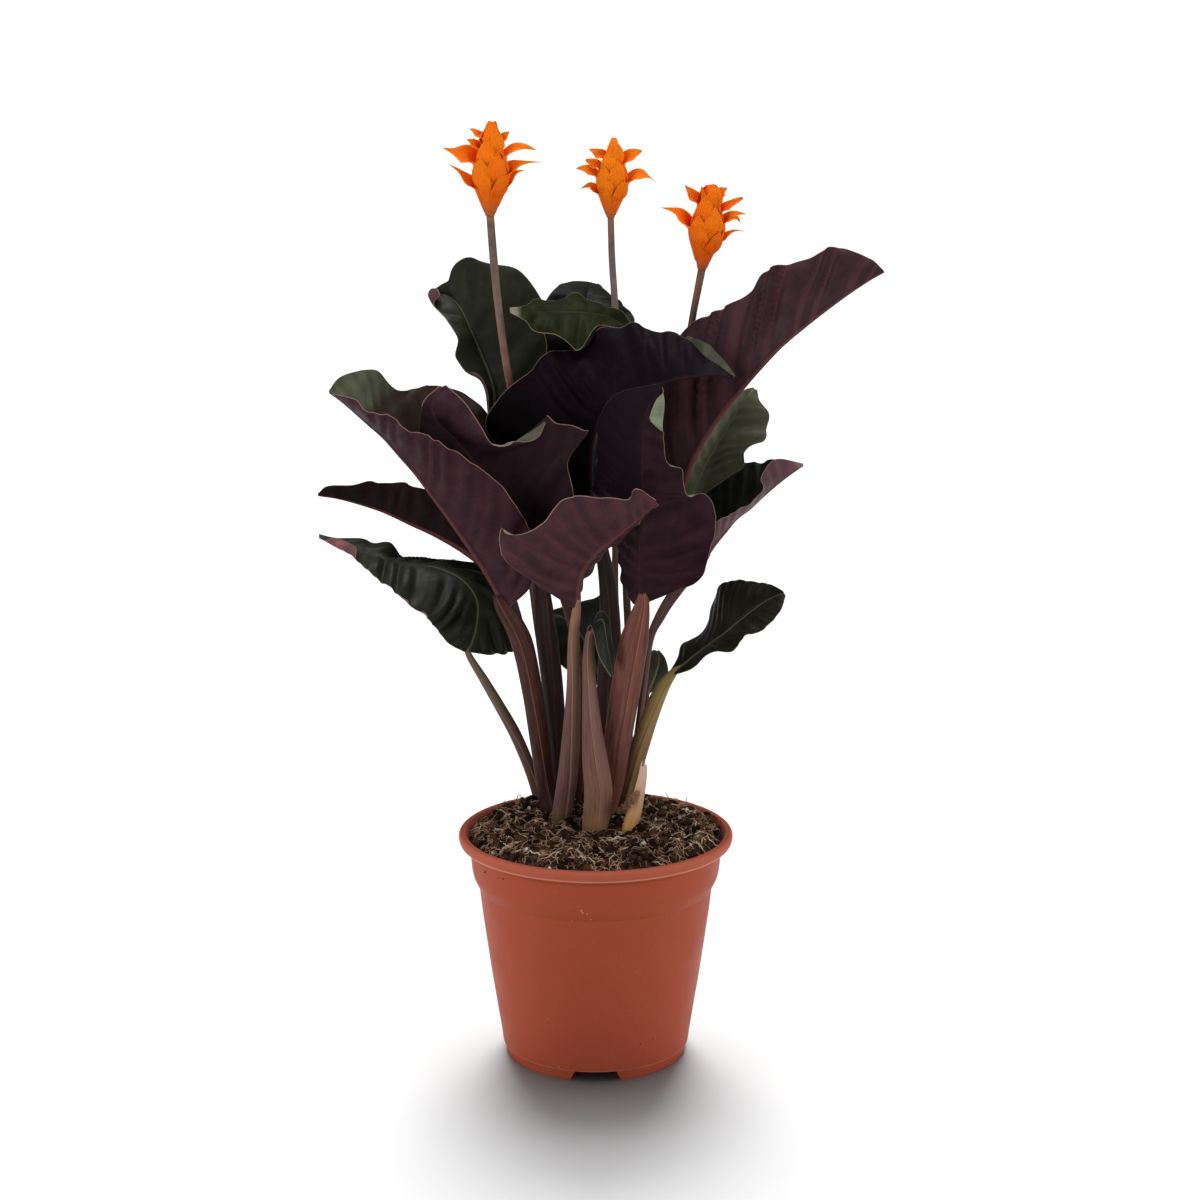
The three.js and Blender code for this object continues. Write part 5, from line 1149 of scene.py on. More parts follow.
BRACT_THICKNESS = 0.42
BRACT_ROWS = 30
BRACT_COLUMNS = 17
FUNNEL = [[-1.5, 2.3], [0, 2.6], [3, 3.8], [8, 5.8], [13, 7.7], [16, 8.8], [20, 9.7], [24, 10],
          [28, 9.2], [31, 8.3], [35, 7.1], [42, 5.5], [45.4, 3.8], [47, 2]]  # [height, radius] at girth 1
FUNNEL_HEIGHT = 47.0  # height of that head, mm
LAYER_STEP = 0.11  # each bract of a head lies this much inside the one listed before it
OPEN_HOLLOW = 8.0  # radius across an open bract near its tip, mm
SHEATHED = 16.0  # how far down the funnel a bract goes on below its open part, mm
LOW_STATIONS = 5
WRAPPED_COUNT = 5  # outer bracts that are pieces of their own
CORE_SIDES = 32
CORE_ROWS = 30
CORE_SHRINK = 0.3
CORE_SHARE = 0.7  # least share of the funnel's radius that the closed core keeps
CORE_COVER = 0.3  # how far the innermost bracts lie outside the core, mm
CORE_LOW = -1.2  # height of the core's lower end above the head's base, mm
CORE_TOP = 0.99  # share of the head's height that the closed core reaches


def head_frame(head):
    foot, top = at([head["base"], head["top"]])
    axis = unit(top - foot)
    right = unit(np.array([1.0, 0, 0]) - axis * axis[0])
    return foot, right, np.cross(axis, right), axis, np.linalg.norm(top - foot)


def funnel_radius(head, level):
    heights, radii = np.array(FUNNEL).T
    height = head_frame(head)[4]
    return head["girth"] * np.interp(np.asarray(level) * FUNNEL_HEIGHT / height, heights, radii)


def layer_radius(head, level, order):
    """Radius at which a bract of this order wraps the head."""
    whole = funnel_radius(head, level)
    sunk = LAYER_STEP * order * np.clip(np.asarray(level) / 6, 0, 1)
    return np.maximum(whole - sunk, CORE_SHARE * whole + CORE_COVER)


def bract_line(head, opened, order):
    """A bract's midline from its sheathed part to its tip, as [radius, level, half-width]."""
    opened = np.array(opened, float)
    opened[:, 0] = np.maximum(opened[:, 0], layer_radius(head, opened[:, 1], order))
    start = max(0.3, opened[0, 1] - SHEATHED)
    low = np.linspace(start, opened[0, 1], LOW_STATIONS + 1)[:-1]
    share = np.linspace(0, 1, LOW_STATIONS + 1)[:-1]
    low = np.stack([layer_radius(head, low, order), low, opened[0, 2] * (0.4 + 0.6 * share)], -1)
    return np.concatenate([low, opened])


def bract_section(line, half, past, t, s, roll, order):
    """How far each point of a bract lies aside of its midline and how far inwards from it."""
    flat = smoothstep(0, 0.6, np.clip(past, 0, 1))
    hollow = np.maximum(line[:, :1], 2.2) * (1 - flat) + OPEN_HOLLOW * flat
    bend = np.clip(s * half / hollow, -1.6, 1.6)
    aside = hollow * np.sin(bend)
    toward = hollow * (1 - np.cos(bend))
    wave = 0.3 * np.sin(7 * t + 3 * order + 1.5 * np.sign(s)) * s**2 * smoothstep(0.3, 0.7, t)
    ridges = 0.05 * np.cos(s * 11) * smoothstep(0.05, 0.3, t)
    toward = toward + (wave + ridges) * np.minimum(1, half / 3)
    rolled = np.radians(roll) * smoothstep(-0.15, 0.4, past)
    cosine, sine = np.cos(rolled), np.sin(rolled)
    return aside * cosine - toward * sine, toward * cosine + aside * sine


def bract_shell(head, bract, order):
    """Points, faces and facts of one bract that wraps the funnel and opens from it."""
    azimuth, roll, opened = bract
    foot, right, back, axis, height = head_frame(head)
    path = bract_line(head, opened, order)
    places, run = even_path(path[:, :2], BRACT_ROWS)
    stations = spline(path, places)
    line, half = stations[:, :2], np.maximum(stations[:, 2:], 0.04)
    t = (run / run[-1])[:, None]
    past = ((places - LOW_STATIONS) / (len(opened) - 1))[:, None]
    s = np.linspace(-1, 1, BRACT_COLUMNS)[None]
    aside, toward = bract_section(line, half, past, t, s, roll, order)
    slope = unit(np.gradient(line, axis=0))
    inward = np.stack([-slope[:, 1], slope[:, 0]], -1)
    angle = math.radians(azimuth)
    out = right * math.cos(angle) + back * math.sin(angle)
    side = back * math.cos(angle) - right * math.sin(angle)
    radius = line[:, :1] + inward[:, :1] * toward
    level = line[:, 1:] + inward[:, 1:] * toward
    grid = foot + radius[..., None] * out + level[..., None] * axis + aside[..., None] * side
    thickness = BRACT_THICKNESS * (0.3 + 0.7 * (1 - np.abs(s) ** 4)) * (1 - 0.5 * t)
    points, faces = two_faced(grid, thickness)
    shape = grid.shape[:2]
    facts = {
        "along": np.broadcast_to(t, shape),
        "level": level / height,
        "across": np.broadcast_to(s, shape),
        "edge": (1 - np.abs(s)) * half,
        "tint": np.full(shape, head["tint"] + 0.25 * math.sin(order * 1.7)),
        "free": smoothstep(0.8, 3.5, line[:, :1] - funnel_radius(head, line[:, 1:])) + 0 * s,
    }
    return points, faces, {key: np.tile(np.ravel(value), 2) for key, value in facts.items()}


def merged(shells):
    """Several shells as one list of points, faces and facts."""
    points, faces, facts, first = [], [], {}, 0
    for shell in shells:
        points.append(shell[0])
        faces += [[int(i) + first for i in face] for face in shell[1]]
        for key, value in shell[2].items():
            facts.setdefault(key, []).append(value)
        first += len(shell[0])
    return np.concatenate(points), faces, {key: np.concatenate(value) for key, value in facts.items()}


def head_core(head):
    """The closed middle of a head, which sits over the end of its stalk."""
    foot, right, back, axis, height = head_frame(head)
    level = np.linspace(CORE_LOW, CORE_TOP * height, CORE_ROWS)
    sunk = LAYER_STEP * len(head["bracts"]) + CORE_SHRINK
    whole = funnel_radius(head, level)
    radius = np.maximum(whole - sunk * smoothstep(1, 6, level), CORE_SHARE * whole)
    turn = np.linspace(0, 2 * math.pi, CORE_SIDES, endpoint=False)[:, None]
    ring = (right * np.cos(turn) + back * np.sin(turn))[None] * radius[:, None, None]
    points = foot + ring + level[:, None, None] * axis
    ends = foot + np.outer(level[[0, -1]], axis)
    points = np.concatenate([points.reshape(-1, 3), ends])
    same = {"along": 0.3, "across": 0, "edge": 4, "tint": head["tint"], "free": 0}
    facts = {key: np.full(len(points), float(value)) for key, value in same.items()}
    facts["level"] = np.append(np.repeat(level / height, CORE_SIDES), [0, 1])
    return points, closed_tube_faces(CORE_ROWS, CORE_SIDES), facts


def bract_finish():
    """Bright orange bract, paler at the margin, pink brown at its foot and greyer at the very tip."""
    bract = Finish("orange_bract", 0.55, 0.06, Subsurface_Weight=0.3, Subsurface_Scale=0.003)
    bract.shader.inputs["Subsurface Radius"].default_value = (1.0, 0.25, 0.01)
    along = bract.fact("along")
    color = bract.mix(bract.fact("tint"), linear("#e05406"), linear("#f0760a"))
    color = bract.mix(bract.step(along, 0.45, 0.9, 0.0, 0.4), color, linear("#ec7906"))
    free = bract.fact("free")
    paler = bract.math("MULTIPLY", bract.step(bract.fact("edge"), 0.1, 0.9, 0.35, 0.0), free)
    color = bract.mix(paler, color, linear("#ec8f14"))
    line = bract.math("SINE", bract.math("MULTIPLY", bract.fact("across"), 30.0))
    color = bract.mix(bract.step(line, 0.2, 1.0, 0.0, 0.15), color, linear("#cb4306"))
    mottle = bract.noise(330.0, 3.0)
    color = bract.mix(bract.step(mottle, 0.5, 0.75, 0.0, 0.3), color, linear("#d55106"))
    color = bract.mix(bract.step(bract.fact("level"), 0.1, 0.45, 0.5, 0.0), color, linear("#bd4706"))
    color = bract.mix(bract.step(bract.fact("level"), -0.02, 0.16, 0.9, 0.0), color, linear("#a5552c"))
    dry = bract.math("MULTIPLY", bract.step(along, 0.9, 1.0, 0.0, 0.8), free)
    color = bract.mix(dry, color, linear("#866a42"))
    bract.color(color)
    bract.bump(bract.math("MULTIPLY_ADD", line, 0.4, mottle), 0.00015, 0.6)
    return bract.material


def flower_pieces(place, head, material):
    shells = [bract_shell(head, bract, i) for i, bract in enumerate(head["bracts"])]
    for i, (points, faces, facts) in enumerate(shells[:WRAPPED_COUNT], 1):
        make_piece(f"{place}_bract_{i}", points, faces, [material], facts=facts,
                   node=f"flower_bract_{place}_{i}")
    points, faces, facts = merged([head_core(head), *shells[WRAPPED_COUNT:]])
    make_piece(f"{place}_flower_spike", points, faces, [material], facts=facts,
               node=f"flower_spike_{place}")


# ---- Dry sheath ----

# A cut-off sheath at the front of the clump: papery, open at the back and torn at the top, with a
# crumpled brown scrap that hangs off its left side. Girth is [share of the height, radius], and a
# point of the scrap's route is [u, v, y, half-width].
DRY_SHEATH = {
    "foot": [16.5, -13],
    "via": [[17, -106, -13], [19.5, -96, -12], [21.2, -88, -11], [22.3, -79.5, -10]],
}
SHEATH_GIRTH = [[0, 3.0], [0.35, 3.5], [0.7, 2.3], [1, 0.9]]
SHEATH_TEARS = [0.05, 0.12, 0.03, 0.1, 0.0, 0.07, 0.15, 0.06]  # how far each part of the top is torn down
SHEATH_WRAP = math.radians(300)
SHEATH_GRID = [44, 41]  # rows and columns
SHEATH_THICKNESS = 0.45
SHEATH_TONES = [[0, "#a3743a"], [0.3, "#b3864f"], [0.6, "#bb9272"], [1, "#c4aa9c"]]
SHEATH_SCRAP = [[19.2, -95.5, -16, 1.2], [16.8, -99, -17, 2.1], [13.4, -102.5, -17.5, 1.7],
                [9.5, -105, -16.5, 1.2], [6.5, -106.5, -15.5, 0.5]]


SCRAP_GRID = [40, 13]
SCRAP_THICKNESS = 0.35
SCRAP_TONES = [[0, "#8a6248"], [0.4, "#6a4733"], [1, "#4a3024"]]


def sheath_facts(along, turn, run, shape):
    """What the stem finish reads at each point of both faces of a sheet that has no seam."""
    facts = {"along": along, "turn": turn, "run": run, "seam": NO_SEAM}
    return {key: np.tile(np.broadcast_to(value, shape).ravel(), 2) for key, value in facts.items()}


def sheath_scrap():
    """Crumpled strip with the facts that its finish reads."""
    rows, columns = SCRAP_GRID
    route = np.array(SHEATH_SCRAP)
    line = at(route[:, :3])
    places, run = even_path(line, rows)
    middle = spline(line, places)
    half = np.interp(places, np.arange(len(route)), route[:, 3])[:, None]
    along = unit(np.gradient(middle, axis=0))
    up = unit(np.cross(along, [0, 1.0, 0]))
    up = up * np.sign(up[:, 2:])
    out = np.cross(up, along)
    s = np.linspace(-1, 1, columns)[None]
    t = run[:, None]
    ragged = half * (1 + 0.25 * np.sin(2.7 * t + 3 * np.sign(s)) * s**2 + 0.12 * np.sin(6.1 * t + s))
    crumple = 0.55 * np.sin(1.9 * t + 2.2 * s) + 0.3 * np.sin(3.7 * t - 4 * s + 1)
    grid = middle[:, None] + (s * ragged)[..., None] * up[:, None] + crumple[..., None] * out[:, None]
    points, faces = two_faced(grid, SCRAP_THICKNESS)
    return points, faces, sheath_facts(t / run[-1], s, t, grid.shape[:2])


def sheath_shell():
    """The wrapped sheath itself, torn at the top."""
    foot = np.array([*DRY_SHEATH["foot"], SOIL_TOP])
    path = np.vstack([foot - [0, 0, ROOTED], foot, at(DRY_SHEATH["via"])])
    rows, columns = SHEATH_GRID
    places, run = even_path(path, 200)
    middle = spline(path, places)
    share = run / run[-1]
    u = np.linspace(0, 1, columns)
    tear = np.interp(u, np.linspace(0, 1, len(SHEATH_TEARS)), SHEATH_TEARS)
    tear = tear + 0.02 * np.sin(40 * u)
    t = np.linspace(0, 1, rows)[:, None] * (1 - tear)
    centre = np.stack([np.interp(t, share, middle[:, k]) for k in range(3)], -1)
    girth = np.interp(t, *np.array(SHEATH_GIRTH).T)
    angle = math.radians(270) + (u - 0.5) * SHEATH_WRAP
    radius = girth * (1 + 0.08 * np.sin(5 * angle + 3 * t) + 0.2 * smoothstep(0.6, 1, t) * np.sin(9 * u))
    section = [radius * np.cos(angle), STEM_FLATNESS * radius * np.sin(angle), 0 * radius]
    grid = centre + np.stack(section, -1)
    points, faces = two_faced(grid, SHEATH_THICKNESS)
    return points, faces, sheath_facts(t, angle, t * run[-1], grid.shape[:2])


def make_dry_sheath():
    shells = [sheath_shell(), sheath_scrap()]
    picks = [i for i, shell in enumerate(shells) for _ in shell[1]]
    points, faces, facts = merged(shells)
    skins = [stem_finish("dry_sheath_skin", SHEATH_TONES, ribs=1.6),
             stem_finish("dry_scrap_skin", SCRAP_TONES, ribs=2.5)]
    make_piece("dry_sheath", points, faces, skins, picks, facts, "dry_sheath_stub")


# ---- Pot ----

POT_WALL = 1.8
POT_BASE_RADIUS = 46.2
POT_SIDES = 168
NOTCH_COUNT = 3  # drainage arches pressed into the foot, one of them at the front
NOTCH_WIDTH = 25.4  # at the ground; an arch narrows towards its top
NOTCH_TOP_WIDTH = 20.6
NOTCH_HEIGHT = 5.4
NOTCH_DEPTH = 20.0
DRAIN_HOLE_RADIUS = 3.0
HOLE_RING = POT_BASE_RADIUS - NOTCH_DEPTH / 2
GAP = 0.3  # clearance between the soil and the pot, mm

NOTCH_OVERHANG = 10.0  # how far the block that cuts an arch reaches past the wall
DRAIN_HOLE_SIDES = 32
RIM_MIDDLE = 66.4  # radius of the top of the rim

# Outline of the pot's outside and inside as [radius, height, rounding].
POT_OUTSIDE = [[46.2, 0, 0.8], [47.3, 5.1, 0], [47.95, 5.5, 0.15], [48.8, 12, 0], [53.8, 44, 0],
               [58.2, 76, 0], [59.6, 88.8, 0.3], [60.3, 89.8, 0.3], [62.7, 94.8, 2.2], [63.4, 100, 0],
               [64.2, 108.9, 0], [67.4, 110.4, 0.8], [69.2, 112.0, 0.8], [70, 114.2, 1.2],
               [69.7, 116.2, 0.8], [68.6, 117, 0.6]]
POT_INSIDE = [[66.4, 117, 0.8], [65.2, 115.8, 1.0], [62.2, 107.5, 1.0], [60.8, 95, 1.0], [57.8, 88, 1.0],
              [56.3, 76, 0], [51.9, 44, 0], [44.4, 2, 1.0]]
ROUND_STEPS = 5


def rounded(outline):
    """Outline with its corners rounded by arcs, as [radius, height] points."""
    points = []
    for i, (r, z, radius) in enumerate(outline):
        corner = np.array([r, z], float)
        if not radius or i in (0, len(outline) - 1):
            points.append(corner)
            continue
        before = unit(np.array(outline[i - 1][:2]) - corner)
        after = unit(np.array(outline[i + 1][:2]) - corner)
        for t in np.linspace(0, 1, ROUND_STEPS):
            points.append(corner + before * radius * (1 - t) ** 2 + after * radius * t**2)
    return np.array(points)


def lathe(outline, sides):
    """Points and faces of a solid turned about Z; the outline starts and ends off the axis."""
    turn = np.linspace(0, 2 * math.pi, sides, endpoint=False)
    r, z = np.asarray(outline).T[..., None]
    ring = np.stack([r * np.cos(turn), r * np.sin(turn), z + 0 * turn], -1)
    points = np.vstack([ring.reshape(-1, 3), [[0, 0, z[0, 0]], [0, 0, z[-1, 0]]]])
    return points, closed_tube_faces(len(r), sides)


def turned_about_z(points, turn):
    c, s = math.cos(turn), math.sin(turn)
    return points @ np.array([[c, s, 0], [-s, c, 0], [0, 0, 1]])


def block(width, top_width, depth, height, centre, turn):
    """Points and faces of a block turned about Z, width at ground level and top_width at its top."""
    corners = np.array([[x, y, z] for x in (-0.5, 0.5) for y in (-0.5, 0.5) for z in (-1, 1)])
    points = corners * [1, depth, height]
    points[:, 0] *= np.where(points[:, 2] > 0, top_width, 2 * width - top_width)
    faces = [[0, 1, 3, 2], [4, 6, 7, 5], [0, 4, 5, 1], [2, 3, 7, 6], [0, 2, 6, 4], [1, 5, 7, 3]]
    return turned_about_z(points + centre, turn), faces


def cut(target, tools):
    """Subtract the tools from the target and drop them."""
    for tool in tools:
        modifier = target.modifiers.new("cut", "BOOLEAN")
        modifier.operation = "DIFFERENCE"
        modifier.solver = "EXACT"
        modifier.object = tool
    bpy.context.view_layer.update()
    graph = bpy.context.evaluated_depsgraph_get()
    result = bpy.data.meshes.new_from_object(target.evaluated_get(graph))
    target.modifiers.clear()
    old = target.data
    target.data = result
    bpy.data.meshes.remove(old)
    for tool in tools:
        bpy.data.objects.remove(tool)


def arch_tools(margin, height):
    """A block over each drainage arch, margin wider all round and reaching past the wall."""
    reach = NOTCH_DEPTH + 2 * margin + NOTCH_OVERHANG
    middle = [0, -HOLE_RING - NOTCH_OVERHANG / 2, 0]
    width = NOTCH_WIDTH + 2 * margin
    top_width = width - (NOTCH_WIDTH - NOTCH_TOP_WIDTH) / NOTCH_HEIGHT * height
    for i in range(NOTCH_COUNT):
        turn = 2 * math.pi * i / NOTCH_COUNT
        yield new_object("arch", *block(width, top_width, reach, height, middle, turn))


def hole_tools():
    """A rod through each drain hole."""
    for i in range(NOTCH_COUNT):
        points, faces = lathe([[DRAIN_HOLE_RADIUS, -5], [DRAIN_HOLE_RADIUS, 15]], DRAIN_HOLE_SIDES)
        turn = 2 * math.pi * i / NOTCH_COUNT - math.pi / 2
        points = points + [HOLE_RING * math.cos(turn), HOLE_RING * math.sin(turn), 0]
        yield new_object("hole", points, faces)


def finish_piece(piece, material, node, smooth_angle):
    """Give a piece that was cut to shape its finish, and hide the node that it stands for."""
    piece.data.materials.clear()
    piece.data.materials.append(material)
    piece.data.polygons.foreach_set("use_smooth", np.ones(len(piece.data.polygons), bool))
    piece.data.set_sharp_from_angle(angle=math.radians(smooth_angle))
    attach(piece, "root")
    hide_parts(node)


# Painted highlights round the pot as [height, half-width, strength]: the lip's lower edge and the foot.
PAINTED_EDGE_HIGHLIGHTS = [[112.1, 0.7, 0.6], [5.5, 0.4, 0.5]]


# Painted sheen: a band round the rim, between these heights, is made paler as if it caught the light.
RIM_PAINTED_SHEEN_BAND = [110.5, 113.0]  # heights between which the rim turns a little paler
RIM_PAINTED_SHEEN = 0.13


def pot_finish():
    """Satin terracotta plastic with fine mottle, a few pale scuffs, dark specks by the rim, a painted sheen
    on the rim and painted highlights along the lip's lower edge and the foot.
    """
    pot = Finish("terracotta_plastic", 0.52, 0.05)
    cloud = pot.step(pot.noise(9.0, 3.0), 0.3, 0.7, 0.0, 0.4)
    color = pot.mix(cloud, linear("#8b3f2b"), linear("#944534"))
    grain = pot.noise(900.0, 3.0, 0.6)
    color = pot.mix(pot.step(grain, 0.45, 0.7, 0.0, 0.09), color, linear("#a9634e"))
    wide = pot.node("ShaderNodeMapping")
    pot.link(pot.place(), wide.inputs["Vector"])
    wide.inputs["Scale"].default_value = (40.0, 40.0, 160.0)
    scuff = pot.noise(2.0, 4.0, 0.65, wide.outputs[0])
    color = pot.mix(pot.step(scuff, 0.70, 0.78, 0.0, 0.4), color, linear("#bb8a78"))
    speck = pot.node("ShaderNodeTexVoronoi")
    pot.link(pot.place(), speck.inputs["Vector"])
    speck.inputs["Scale"].default_value = 170.0
    in_patch = pot.step(pot.noise(30.0, 1.0), 0.62, 0.68)
    dot = pot.step(speck.outputs["Distance"], 0.10, 0.16, 0.7, 0.0)
    color = pot.mix(pot.math("MULTIPLY", dot, in_patch), color, linear("#3c211a"))
    level = pot.height()
    # Painted sheen: the rim's band is made paler, as if it caught the light.
    painted_rim_sheen = pot.step(level, RIM_PAINTED_SHEEN_BAND[0] * MM, RIM_PAINTED_SHEEN_BAND[1] * MM, 0.0, RIM_PAINTED_SHEEN)
    color = pot.mix(painted_rim_sheen, color, linear("#bb7866"))
    # Painted highlight: pale lines round the lip's lower edge and the foot, where those edges would catch
    # the light.
    for edge, width, strength in PAINTED_EDGE_HIGHLIGHTS:
        distance = pot.math("ABSOLUTE", pot.math("SUBTRACT", level, edge * MM))
        painted_edge_highlight = pot.step(distance, 0.3 * width * MM, width * MM, strength, 0.0)
        color = pot.mix(painted_edge_highlight, color, linear("#c9806a"))
    pot.color(color)
    pot.rough(pot.step(pot.noise(45.0, 4.0), 0.3, 0.7, 0.36, 0.5))
    pot.bump(grain, 0.00003, 0.5)
    return pot.material


def make_pot():
    cavity = new_object("cavity", *lathe([*rounded(POT_INSIDE)[::-1], [RIM_MIDDLE, 125]], POT_SIDES))
    cut(cavity, list(arch_tools(POT_WALL, NOTCH_HEIGHT + POT_WALL)))
    pot = new_object("pot", *lathe([*rounded(POT_OUTSIDE), [RIM_MIDDLE, 117.0]], POT_SIDES))
    cut(pot, [cavity])
    cut(pot, list(arch_tools(0, NOTCH_HEIGHT)))
    cut(pot, list(hole_tools()))
    finish_piece(pot, pot_finish(), "nursery_pot", 32)


# ---- Soil ----

SOIL_SIDES = 200
SOIL_SKIRT = [[44.1, 2.3], [51.6, 44], [56, 76], [57.4, 88], [60.4, 95.3], [61.8, 107.5]]
SOIL_EDGE_RADIUS = 64.0
SOIL_MOUND = [[SOIL_EDGE_RADIUS, 114.0], [61.4, 116], [57, 118.2], [51, 119.3], [40, 119.8],
              [28, 120.1], [14, 120.3], [3, 120.3]]
SOIL_ROWS = 60
SOIL_ROUGHNESS = [[1.9, 11.0, 1], [1.4, 5.0, 2], [0.7, 2.0, 3]]  # [height, size, seed] of its clods
SOIL_PIT = {"at": [30, -36], "half": [5, 3.5], "depth": 3.0}  # a hollow at the front right
CRUMB_COUNT = 2400
LUMP_COUNT = 420
PERLITE_COUNT = 34
MOSS_COUNT = 300
MOSS_SPOT = np.array([48.0, -20.0])

LITTER_MARGIN = 0.8  # how far inside the soil's edge litter starts

# Fibres and roots that lie on the soil. inner keeps them off the middle, as a share of the area,
# length and width are ranges in mm, lift is the height above the soil and rear the range of heights
# that one end stands up.
STRANDS = {
    "fibres": {"count": 1450, "inner": 0, "length": [3, 12], "width": [0.08, 0.2],
               "sides": 4, "rows": 7, "lift": 0.5},
    "tufts": {"count": 220, "inner": 0.2, "length": [3, 8], "width": [0.1, 0.2],
              "sides": 4, "rows": 7, "lift": 0.4, "rear": [0.8, 3.2]},
    "loose": {"count": 90, "inner": 0.72, "length": [5, 11], "width": [0.12, 0.24],
              "sides": 4, "rows": 11, "lift": 0.6, "rear": [2.5, 6.5]},
    "roots": {"count": 130, "inner": 0.15, "length": [6, 15], "width": [0.14, 0.32],
              "sides": 6, "rows": 13, "lift": 0.8},
}

# Small marks on the front of the pot as [distance to the right, height, size].
SCUFFS = [[-6.8, 95.6, 0.45], [-6.2, 94.4, 0.4], [-4.1, 93.6, 0.35], [-2.2, 90.3, 0.4],
          [-11.3, 88.9, 0.3], [-18.4, 6.6, 0.45]]
SPECKS = [[-55.0, 105.2, 0.5], [-45.5, 105.8, 0.4], [22.5, 19.0, 0.35]]


def value_noise(x, y, size, seed):
    """Smooth noise in -1..1 with features of about size."""
    table = np.random.default_rng(seed).uniform(-1, 1, (256, 256))
    gx, gy = x / size + 100, y / size + 100
    ix, iy = np.floor(gx).astype(int), np.floor(gy).astype(int)
    fx, fy = gx - ix, gy - iy
    fx, fy = fx * fx * (3 - 2 * fx), fy * fy * (3 - 2 * fy)
    pick = [[table[(ix + a) % 256, (iy + b) % 256] for b in (0, 1)] for a in (0, 1)]
    low = pick[0][0] * (1 - fy) + pick[0][1] * fy
    high = pick[1][0] * (1 - fy) + pick[1][1] * fy
    return low * (1 - fx) + high * fx


def soil_level(x, y):
    """Height of the soil's rough surface."""
    radius = np.hypot(x, y)
    r, z = np.array(SOIL_MOUND)[::-1].T
    rough = sum(height * value_noise(x, y, size, seed) for height, size, seed in SOIL_ROUGHNESS)
    (pit_x, pit_y), (half_x, half_y) = SOIL_PIT["at"], SOIL_PIT["half"]
    pit = SOIL_PIT["depth"] * np.exp(-(((x - pit_x) / half_x) ** 2 + ((y - pit_y) / half_y) ** 2))
    return np.interp(radius, r, z) + rough * smoothstep(64, 59, radius) * 1.1 - pit


def soil_finish():
    soil = Finish("peat", 0.95, 0.05)
    clumps = soil.noise(260.0, 6.0, 0.7)
    color = soil.mix(soil.step(clumps, 0.35, 0.7), linear("#1a110c"), linear("#4c3326"))
    spots = soil.noise(900.0, 2.0)
    color = soil.mix(soil.step(spots, 0.62, 0.72, 0.0, 0.4), color, linear("#957459"))
    soil.color(color)
    soil.bump(clumps, 0.0015, 0.9)
    return soil.material


def make_soil_bed():
    radii = np.linspace(SOIL_EDGE_RADIUS, 0.6, SOIL_ROWS)
    turn = np.linspace(0, 2 * math.pi, SOIL_SIDES, endpoint=False)
    skirt = [[[r * math.cos(a), r * math.sin(a), z] for a in turn] for r, z in SOIL_SKIRT]
    x = radii[:, None] * np.cos(turn)
    y = radii[:, None] * np.sin(turn)
    mound = np.stack([x, y, soil_level(x, y)], -1)
    rings = np.concatenate([np.array(skirt), mound])
    points = np.vstack([rings.reshape(-1, 3), [[0, 0, SOIL_SKIRT[0][1]], [0, 0, SOIL_TOP + 0.5]]])
    bed = new_object("soil_bed", points, closed_tube_faces(len(rings), SOIL_SIDES))
    cut(bed, list(arch_tools(POT_WALL + GAP, NOTCH_HEIGHT + POT_WALL + GAP)))
    finish_piece(bed, soil_finish(), "potting_soil", 60)


def ball_shape(level):
    """Points and triangles of a unit icosphere."""
    bm = bmesh.new()
    bmesh.ops.create_icosphere(bm, subdivisions=level, radius=1.0)
    points = np.array([vertex.co[:] for vertex in bm.verts])
    faces = [[vertex.index for vertex in face.verts] for face in bm.faces]
    bm.free()
    return points, faces


def scatter_spots(random, count, inner=0.0):
    """Random places on the soil, evenly spread over its area outside the inner share."""
    radius = np.sqrt(random.uniform(inner, 1, count)) * (SOIL_EDGE_RADIUS - LITTER_MARGIN)
    turn = random.uniform(0, 2 * math.pi, count)
    x, y = radius * np.cos(turn), radius * np.sin(turn)
    return np.stack([x, y, soil_level(x, y)], -1)


def lumps(random, spots, sizes, level, flat=0.75, shade=None):
    """Irregular grains at the spots, as one shell."""
    ball, triangles = ball_shape(level)
    shells = []
    for i, (spot, size) in enumerate(zip(spots, sizes)):
        stretch_by = random.uniform(0.65, 1.35, 3) * [1, 1, flat]
        dents = 1 + random.uniform(-0.28, 0.28, len(ball))[:, None]
        points = turned_about_z(ball * dents * stretch_by, random.uniform(0, 2 * math.pi))
        tint = np.full(len(ball), random.uniform() if shade is None else shade[i])
        shells.append((spot + points * size, triangles, {"tint": tint}))
    return merged(shells)


